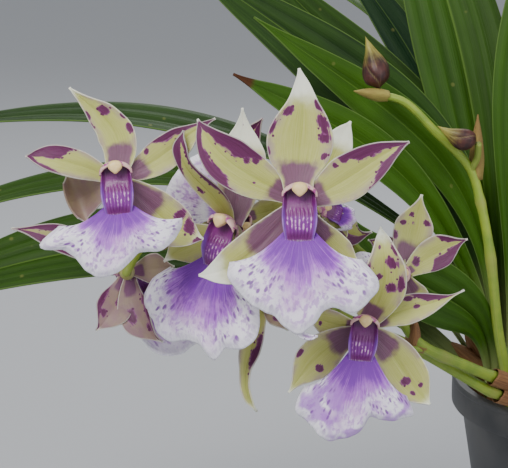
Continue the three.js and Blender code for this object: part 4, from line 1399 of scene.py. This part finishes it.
class ORCHID_OT_columns(bpy.types.Operator):
    """Model the column's hood and anther cap of every flower"""

    bl_idname = "orchid.columns"
    bl_label = "Columns"

    def execute(self, context):
        hood, cap = hood_finish(), cap_finish()
        for number, flower in enumerate(FLOWERS, 1):
            at = flower_frame(flower, flower["turn"], flower["lip_turn"])
            shape = Shape("inner")
            shape.surface(functools.partial(self.vault, at), across=40, rows=20, inner=0)
            shape.piece(
                f"bloom_{number}_hood", hood, "column", f"flower_{number}_column",
                thickness=HOOD_THICKNESS,
            )
            shape = Shape()
            shape.surface(functools.partial(self.cap, at), across=24, rows=16)
            shape.close()
            shape.piece(f"bloom_{number}_cap", cap, "column", f"flower_{number}_column")
        return {"FINISHED"}

    def vault(self, at, u, v):
        """The hood: a low roof from the flower's knob, with its front rim turned down over the throat."""
        t = 1 - 2 * u
        arch = math.cos(math.pi / 2 * t) ** 1.3 if abs(t) < 1 else 0
        wide = along((2.4, 4.4, 5.2, 5.5, 5.6), v)
        eaves = along((-1.2, 0.8, 2.4, 3.2, 3.2), v)
        top = along((3.6, 5.4, 6.3, 6.5, 6.5), v)
        turned = smooth(0.82, 1, v)
        right = -wide * math.sin(math.pi / 2 * t)
        up = eaves + (top - eaves) * arch - 1.2 * turned
        forward = 1.2 + 7.4 * min(v / 0.86, 1) + 0.4 * turned - 1.4 * t * t * v
        return at(right, up, forward)

    def cap(self, at, u, v):
        """The anther cap: a rounded box with a small beak below."""
        lift, spin = math.pi * v, 2 * math.pi * u
        ring = math.sin(lift) ** 0.8
        right = 2.6 * ring * math.copysign(abs(math.cos(spin)) ** 0.8, math.cos(spin))
        forward = 1.9 * ring * math.copysign(abs(math.sin(spin)) ** 0.8, math.sin(spin))
        up = 2.1 * math.cos(lift)
        beak = smooth(0.55, 1, v)
        return at(right * (1 - 0.6 * beak), 4.8 + up - 0.7 * beak, 8.8 + forward + 0.5 * beak)


class ORCHID_OT_leaves(bpy.types.Operator):
    """Model the pleated leaves"""

    bl_idname = "orchid.leaves"
    bl_label = "Leaves"

    def execute(self, context):
        finish = leaf_finish()
        for number, (width, faces, line, sun, dry) in enumerate(LEAVES, 1):
            shape = Shape("seed", "sun", "dry", "edge", "pleat")
            height = functools.partial(self.height, number, width)
            place, half = blade(line, width, faces, LEAF_OUTLINE, 0, height)
            shape.surface(
                place, across=48, rows=96, seed=number * 3.1, sun=sun,
                dry=lambda u, v, dry=dry: smooth(dry - 0.06, dry + 0.03, v) if dry < 1 else 0,
                edge=lambda u, v, half=half: half(v) * (1 - abs(2 * u - 1)),
                pleat=lambda u, v, width=width: self.pleats(2 * u - 1, width),
            )
            shape.piece(
                f"blade_{number:02d}", finish, "leaf", f"leaf_{number:02d}",
                thickness=context.scene.orchid_sizes.leaf_thickness,
            )
        return {"FINISHED"}

    def pleats(self, t, width):
        """Raised veins on each side of the middle, more on a wider leaf, from -1 to 1."""
        return -math.cos(2 * math.pi * max(1, round(width / 12.7)) * abs(t))

    def height(self, number, width, s, t, half):
        fold = half * (0.34 - 0.22 * s) * abs(t)
        pleats = 0.32 * self.pleats(t, width) * smooth(0, 0.2, s) * smooth(1, 0.7, s) * smooth(0, 8, half)
        swell = 0.9 * math.sin(math.pi * abs(t)) * (1 - s)
        sway = 0.7 * wobble(s * 6, t * 0.8, number) * abs(t)
        return fold + pleats + swell + sway


class ORCHID_OT_spikes(bpy.types.Operator):
    """Model the flower spikes, their flower stalks and their bracts"""

    bl_idname = "orchid.spikes"
    bl_label = "Spikes and bracts"

    def execute(self, context):
        green, papery = stem_finish(), papery_finish()
        for spike in SPIKES:
            path = smooth_path(spike["line"])
            shape = Shape("flower_end", "joint")
            joints = [share for _, share, _ in spike["stalks"]] + list(BARE_JOINTS)
            foot, top = spike["foot"], spike["top"]
            shape.tube(
                path, functools.partial(self.stem_radius, foot, top, joints), sides=14,
                flower_end=0, joint=functools.partial(self.near_joint, joints),
            )
            sheaths = Shape("seed", "dry")
            for number, share, drop in spike["stalks"]:
                self.stalk(shape, sheaths, path, number, share, drop)
            if spike["sheath"]:
                self.sheath(sheaths, path, spike["sheath"], foot)
            if "side_bud" in spike:
                shape.tube(
                    smooth_path(BUD_STALK, 6), lambda s, a: BUD_STALK_RADIUS, sides=12,
                    flower_end=0.4, joint=0,
                )
            for scale in BRACTS:
                if (point_near(path, scale[0]) - Vector(scale[0])).length < BRACT_REACH:
                    bract(sheaths, *scale)
            shape.close()
            shape.piece(f"{spike['node']}_stems", green, "stem", spike["node"])
            sheaths.piece(
                f"{spike['node']}_bracts", papery, "stem", spike["node"], thickness=BRACT_THICKNESS
            )
        return {"FINISHED"}

    def near_joint(self, joints, u, v):
        return max(smooth(0.025, 0.0, abs(v - j)) for j in joints)

    def stem_radius(self, foot, top, joints, share, angle):
        swell = 1 + 0.18 * max(smooth(0.03, 0.0, abs(share - j)) for j in joints)
        return (foot + (top - foot) * share) * swell * (1 + 0.03 * math.cos(5 * angle))

    def stalk(self, shape, sheaths, path, number, share, drop):
        """A flower's own stalk, ribbed and thickening towards the flower, with a small bract at its foot."""
        flower = FLOWERS[number]
        away = abs(flower["lip_turn"][0]) > 90
        turns = (flower["turn"], flower["lip_turn"]) if away else (flower["turn"],)
        at = flower_frame(flower, *turns)
        end = at(0, 0, -HUB - GAP / flower["size"])
        behind = at(0, 0, -11)
        start, way = point_at(path, share)
        middle = start.lerp(behind, 0.5) + Vector((0, 0, -drop))
        low, high = STALK_RADII
        shape.tube(
            smooth_path((start, middle, behind, end), 9),
            lambda s, a: (low + (high - low) * s) * (1 + 0.08 * math.cos(6 * a) * smooth(0.2, 0.7, s)),
            sides=12, flower_end=lambda u, v: smooth(0.4, 1, v), joint=lambda u, v: smooth(0.1, 0, v),
        )
        out = (middle - start).normalized()
        bract(sheaths, start - out * 0.5, start + out * 6 + way * 1.5, 1.9, 0.6)

    def sheath(self, shape, path, reach, radius):
        """A dry scale wrapped tightly round the foot of a spike, up to a share of its length."""

        def place(u, v):
            spot, way = point_at(path, reach * v * (1 - 0.1 * abs(2 * u - 1)))
            side = (Vector((0, -1, 0)) - way * way.dot(Vector((0, -1, 0)))).normalized()
            angle = (u - 0.5) * math.radians(SHEATH_WRAP)
            out = radius + 0.4 + 0.25 * math.sin(9 * v) ** 2 + 0.4 * v**4
            return spot + (side * math.cos(angle) + way.cross(side) * math.sin(angle)) * out

        shape.surface(place, across=24, rows=30, seed=reach * 31, dry=0.95)


def bract(shape, foot, tip, half, dry):
    """A pointed scale, hollow towards the stem."""
    foot, tip = Vector(foot), Vector(tip)
    way = (tip - foot).normalized()
    face = (Vector((0, -1, 0.3)) - way * way.dot(Vector((0, -1, 0.3)))).normalized()
    side = way.cross(face)

    def place(u, v):
        t = 2 * u - 1
        wide = half * along((0.8, 1, 0.85, 0.5, 0.04), v)
        return foot.lerp(tip, v) + side * (wide * t) + face * (1.4 * wide * (1 - t * t) - wide * 0.5)

    shape.surface(place, across=12, rows=14, seed=foot.x, dry=dry)


def point_near(path, spot):
    """The point of a path that is nearest a spot."""
    return min(path, key=lambda p: (p - Vector(spot)).length)


class ORCHID_OT_buds(bpy.types.Operator):
    """Model the closed buds"""

    bl_idname = "orchid.buds"
    bl_label = "Buds"

    def execute(self, context):
        finish = bud_finish()
        for number, (foot, tip, half) in enumerate(BUDS, 1):
            shape = Shape("seam")
            foot, tip = Vector(foot), Vector(tip)
            way = (tip - foot).normalized()
            side = way.orthogonal().normalized()
            other = way.cross(side)

            def place(u, v):
                angle = 2 * math.pi * u
                lobes = 1 + 0.07 * math.cos(3 * angle + 2.4 * v) * math.sin(math.pi * v)
                lobes -= 0.07 * self.seam(u, v) * smooth(0, 0.2, v)
                ring = half * along((0, 0.78, 0.98, 0.92, 0.7, 0.42, 0.2, 0.0), v) * lobes
                bend = side * (1.1 * math.sin(math.pi * v))
                return foot.lerp(tip, v) + bend + (side * math.cos(angle) + other * math.sin(angle)) * ring

            shape.surface(place, across=48, rows=36, seam=self.seam)
            shape.close()
            shape.piece(f"bud_{number}_closed", finish, "bud", f"bud_{number}")
        return {"FINISHED"}

    def seam(self, u, v):
        """Where one of the three sepals overlaps the next."""
        turn = (3 * u + 1.15 * v) % 1
        return smooth(0.12, 0, min(turn, 1 - turn))


class ORCHID_OT_pseudobulbs(bpy.types.Operator):
    """Model the pseudobulbs and their dry sheaths"""

    bl_idname = "orchid.pseudobulbs"
    bl_label = "Pseudobulbs"

    def execute(self, context):
        finish, papery = bulb_finish(), papery_finish()
        for number, ((x, y), wide, deep, tall) in enumerate(BULBS, 1):
            middle = Vector((x, y, MEDIUM_TOP - BULB_SUNK + tall / 2))

            def egg(angle, v, out=0.0):
                lift = math.pi * v
                ring = math.sin(lift) * (1 + out / wide)
                z = -math.cos(lift) * tall / 2
                return middle + Vector((math.cos(angle) * wide * ring, math.sin(angle) * deep * ring, z))

            def body(u, v):
                angle = 2 * math.pi * u
                furrow = abs(math.sin(5 * angle + 0.4 * math.sin(6 * v))) ** 0.5
                return egg(angle, v, -0.8 * (1 - furrow) * math.sin(math.pi * v))

            shape = Shape()
            shape.surface(body, across=80, rows=32)
            shape.close()
            shape.piece(f"bulb_{number}", finish, "pseudobulb", f"pseudobulb_{number}")
            sheaths = Shape("seed", "dry")
            for turn in range(BULB_SHEATHS):
                top = 0.52 + 0.1 * ((turn * 2 + number) % 3)
                start = 0.6 + turn * 2 * math.pi / BULB_SHEATHS + number

                def scale(u, v, top=top, start=start):
                    span = math.radians(BULB_SHEATH_SPAN) * (1 - 0.8 * v**2.5)
                    rise = 0.2 + (top - 0.2) * v
                    flare = 0.5 + 0.7 * v * v + 0.25 * math.sin(40 * u + start)
                    return egg(start + (u - 0.5) * span, rise, flare)

                sheaths.surface(scale, across=20, rows=14, seed=number * BULB_SHEATHS + turn, dry=0.95)
            if number == 1:
                for foot, tip, half in HUSKS:
                    bract(sheaths, foot, tip, half, 1)
            sheaths.piece(
                f"bulb_{number}_sheaths", papery, "pseudobulb", f"pseudobulb_{number}",
                thickness=BRACT_THICKNESS,
            )
        return {"FINISHED"}


class ORCHID_OT_bark(bpy.types.Operator):
    """Fill the pot with bark"""

    bl_idname = "orchid.bark"
    bl_label = "Bark"

    def execute(self, context):
        draw = random.Random(context.scene.orchid_sizes.seed)
        shape = Shape("seed")
        bm = shape.bm
        low, high = POT["floor"] + GAP, MEDIUM_TOP - 1.5
        rings = [(0, low), (pot_inside(low), low), (pot_inside(high), high)]
        rings += [(pot_inside(high) * share, high) for share in (0.8, 0.6, 0.4, 0.2)] + [(0, high)]
        lathe(bm, rings, 64)
        for vert in bm.verts:
            if vert.co.z > high - 0.1 and vert.co.xy.length < pot_inside(high) * 0.9:
                vert.co.z += draw.uniform(-0.6, 0.6)
            vert[shape.layers["seed"]] = 0.2
        count = context.scene.orchid_sizes.chips
        for i in range(count):
            self.chip(shape, draw, i / count)
        shape.piece("bark_chips_loose", bark_finish(), "bark", "bark_medium")
        return {"FINISHED"}

    def chip(self, shape, draw, share):
        """One chip, tilted and half bedded among the others, clear of the pseudobulbs."""
        long, broad, thick = (draw.uniform(*CHIP[side]) for side in ("long", "broad", "thick"))
        out = math.sqrt(share) * (pot_inside(MEDIUM_TOP) - 7.5)
        angle = draw.uniform(0, 2 * math.pi)
        x, y = out * math.cos(angle), out * math.sin(angle)
        for (bx, by), wide, deep, _ in BULBS:
            if math.hypot((x - bx) / (wide * 0.8 + 3), (y - by) / (deep * 0.8 + 3)) < 1:
                return
        turn = Matrix.Rotation(draw.uniform(0, math.pi), 4, "Z")
        turn = turn @ Matrix.Rotation(draw.gauss(0, CHIP["tilt"]), 4, "X")
        turn = turn @ Matrix.Rotation(draw.gauss(0, CHIP["tilt"]), 4, "Y")
        place = Matrix.Translation((x, y, MEDIUM_TOP + draw.uniform(-1.2, 1.6)))
        size = Matrix.Diagonal((long, broad, thick, 1))
        made = bmesh.ops.create_cube(shape.bm, size=1, matrix=place @ turn @ size)
        for vert in made["verts"]:
            vert.co += Vector([draw.uniform(-1, 1) for _ in range(3)]) * CHIP["stray"]
        edges = list(dict.fromkeys(edge for vert in made["verts"] for edge in vert.link_edges))
        made = bmesh.ops.bevel(
            shape.bm, geom=edges, offset=CHIP["edge"], segments=1, profile=0.5, affect="EDGES", material=-1
        )
        tone = draw.random()
        for vert in {vert for face in made["faces"] for vert in face.verts}:
            vert[shape.layers["seed"]] = tone


def pot_outside(z):
    """The outer radius of the pot's wall at a height."""
    return POT["foot"] + (POT["rim"] - POT["band_out"] - POT["foot"]) * z / POT["height"]


def pot_inside(z):
    """The radius that fills the pot's inside at a height."""
    return pot_outside(z) - POT["wall"] - GAP


def lathe(bm, profile, steps):
    """Spins a profile of radius and height round the upright axis into a closed, outward-facing skin."""
    verts = [bm.verts.new((r, 0, z)) for r, z in profile]
    edges = [bm.edges.new(pair) for pair in zip(verts, verts[1:])]
    bmesh.ops.spin(
        bm, geom=verts + edges, cent=(0, 0, 0), axis=(0, 0, 1), dvec=(0, 0, 0),
        angle=2 * math.pi, steps=steps, use_merge=True, use_duplicate=False,
    )
    bmesh.ops.remove_doubles(bm, verts=bm.verts, dist=0.01)
    bmesh.ops.recalc_face_normals(bm, faces=bm.faces)


class ORCHID_OT_pot(bpy.types.Operator):
    """Model the pot"""

    bl_idname = "orchid.pot"
    bl_label = "Pot"

    def execute(self, context):
        shape = Shape()
        rim, foot, height = POT["rim"], POT["foot"], POT["height"]
        band = height - POT["band"]
        inside = [(pot_outside(z) - POT["wall"], z) for z in (height - 1.2, band, 60, 30, POT["floor"] + 3)]
        profile = [
            (0, 0.8), (foot - 8, 0.8), (foot - 6.5, 0), (foot - 1.2, 0), (foot - 0.3, 0.5), (foot, 1.4),
            (pot_outside(9), 9), (pot_outside(9.5) - 0.5, 9.8), (pot_outside(11) - 0.5, 11),
            (pot_outside(11.5), 11.8), (pot_outside(50), 50),
            (pot_outside(band) - 0.1, band - 0.6), (pot_outside(band) + 0.4, band),
            (rim - 0.6, band + 0.6), (rim - 0.1, band + 1.4), (rim, band + 3), (rim, height - 3.4),
            (rim - 0.3, height - 2.2), (rim, height - 1.6), (rim - 0.2, height - 0.6), (rim - 1, height),
            (pot_outside(height) - POT["wall"] + 0.8, height), *inside,
            (pot_outside(3) - POT["wall"] - 3, POT["floor"]), (0, POT["floor"]),
        ]
        lathe(shape.bm, profile, 144)
        for face in shape.bm.faces:
            face.smooth = True
        made = shape.piece("pot_moulded", pot_finish(), "pot_plastic", "pot")
        self.drill(context, made)
        crease = made.modifiers.new("edges", "BEVEL")
        crease.width = 0.25 * MM
        crease.segments = 2
        crease.limit_method = "ANGLE"
        return {"FINISHED"}

    def drill(self, context, pot):
        """Cuts the drain holes through the pot's floor."""
        shape = Shape()
        for i in range(DRAIN["count"]):
            angle = 2 * math.pi * i / DRAIN["count"]
            spot = Vector((math.cos(angle), math.sin(angle), 0)) * DRAIN["circle"]
            bmesh.ops.create_cone(
                shape.bm, cap_ends=True, segments=32, radius1=DRAIN["radius"], radius2=DRAIN["radius"],
                depth=20, matrix=Matrix.Translation(spot),
            )
        bmesh.ops.scale(shape.bm, vec=(MM, MM, MM), verts=shape.bm.verts)
        mesh = bpy.data.meshes.new("drill")
        shape.bm.to_mesh(mesh)
        shape.bm.free()
        cutter = bpy.data.objects.new("drill", mesh)
        context.scene.collection.objects.link(cutter)
        cut = pot.modifiers.new("drain", "BOOLEAN")
        cut.operation = "DIFFERENCE"
        cut.object = cutter
        cut.solver = "EXACT"
        with context.temp_override(object=pot, active_object=pot):
            bpy.ops.object.modifier_apply(modifier=cut.name)
        bpy.data.objects.remove(cutter)


class ORCHID_OT_stage(bpy.types.Operator):
    """Set out the floor, the lights and the camera"""

    bl_idname = "orchid.stage"
    bl_label = "Floor, lights and camera"

    def execute(self, context):
        self.floor()
        for lamp in LIGHTS:
            self.light(*lamp)
        world = bpy.data.worlds.new("studio")
        world.use_nodes = True
        sky = next(n for n in world.node_tree.nodes if n.type == "BACKGROUND")
        sky.inputs["Color"].default_value = (*STUDIO_TINT, 1)
        sky.inputs["Strength"].default_value = STUDIO_STRENGTH
        context.scene.world = world
        self.camera(context)
        return {"FINISHED"}

    def floor(self):
        bm = bmesh.new()
        bmesh.ops.create_grid(bm, x_segments=1, y_segments=1, size=FLOOR_HALF)
        mesh = bpy.data.meshes.new("floor")
        bm.to_mesh(mesh)
        bm.free()
        mesh.materials.append(floor_finish())
        floor = bpy.data.objects.new("floor", mesh)
        bpy.context.scene.collection.objects.link(floor)

    def light(self, name, spot, size, power, tint):
        lamp = bpy.data.lights.new(name, "AREA")
        lamp.shape = "DISK"
        lamp.size = size
        lamp.energy = power
        lamp.color = tint
        made = bpy.data.objects.new(name, lamp)
        made.location = spot
        aim = Vector(LIGHT_AIM) - made.location
        made.rotation_euler = aim.to_track_quat("-Z", "Y").to_euler()
        bpy.context.scene.collection.objects.link(made)

    def camera(self, context):
        """Looks along +Y and down, so that 210 of the picture's columns span 70 mm at the first flower."""
        down = math.radians(CAMERA_DOWN)
        back = Vector((0, -math.cos(down), math.sin(down)))
        lens = bpy.data.cameras.new("camera")
        lens.sensor_width = SENSOR
        lens.lens = SENSOR * CAMERA_DISTANCE / (PICTURE_COLUMNS / COLUMNS_PER_MM)
        lens.clip_start = 0.01
        lens.clip_end = 50
        made = bpy.data.objects.new("camera", lens)
        made.location = (Vector(CAMERA_AIM) + back * CAMERA_DISTANCE) * MM
        made.rotation_euler = (math.pi / 2 - down, 0, 0)
        context.scene.collection.objects.link(made)
        context.scene.camera = made


STEPS = (
    ORCHID_OT_stage, ORCHID_OT_pot, ORCHID_OT_bark, ORCHID_OT_pseudobulbs, ORCHID_OT_leaves,
    ORCHID_OT_spikes, ORCHID_OT_buds, ORCHID_OT_tepals, ORCHID_OT_lips, ORCHID_OT_columns,
)


class ORCHID_PT_panel(bpy.types.Panel):
    """Lists the pieces of the orchid with their sizes and colours"""

    bl_idname = "ORCHID_PT_panel"
    bl_label = "Potted orchid"
    bl_space_type = "VIEW_3D"
    bl_region_type = "UI"
    bl_category = "Orchid"

    def draw(self, context):
        column = self.layout.column()
        for step in STEPS:
            column.operator(step.bl_idname)
        for group in (context.scene.orchid_sizes, context.scene.orchid_colours):
            for name in group.__annotations__:
                column.prop(group, name)


CLASSES = (OrchidColours, OrchidSizes, *STEPS, ORCHID_PT_panel)


def register():
    for cls in CLASSES:
        bpy.utils.register_class(cls)
    bpy.types.Scene.orchid_colours = bpy.props.PointerProperty(type=OrchidColours)
    bpy.types.Scene.orchid_sizes = bpy.props.PointerProperty(type=OrchidSizes)


def unregister():
    del bpy.types.Scene.orchid_sizes
    del bpy.types.Scene.orchid_colours
    for cls in reversed(CLASSES):
        bpy.utils.unregister_class(cls)


def main():
    register()
    bpy.ops.orchid.stage()
    bpy.ops.orchid.pot()
    bpy.ops.orchid.bark()
    bpy.ops.orchid.pseudobulbs()
    bpy.ops.orchid.leaves()
    bpy.ops.orchid.spikes()
    bpy.ops.orchid.buds()
    bpy.ops.orchid.tepals()
    bpy.ops.orchid.lips()
    bpy.ops.orchid.columns()


if __name__ == "__main__":
    main()
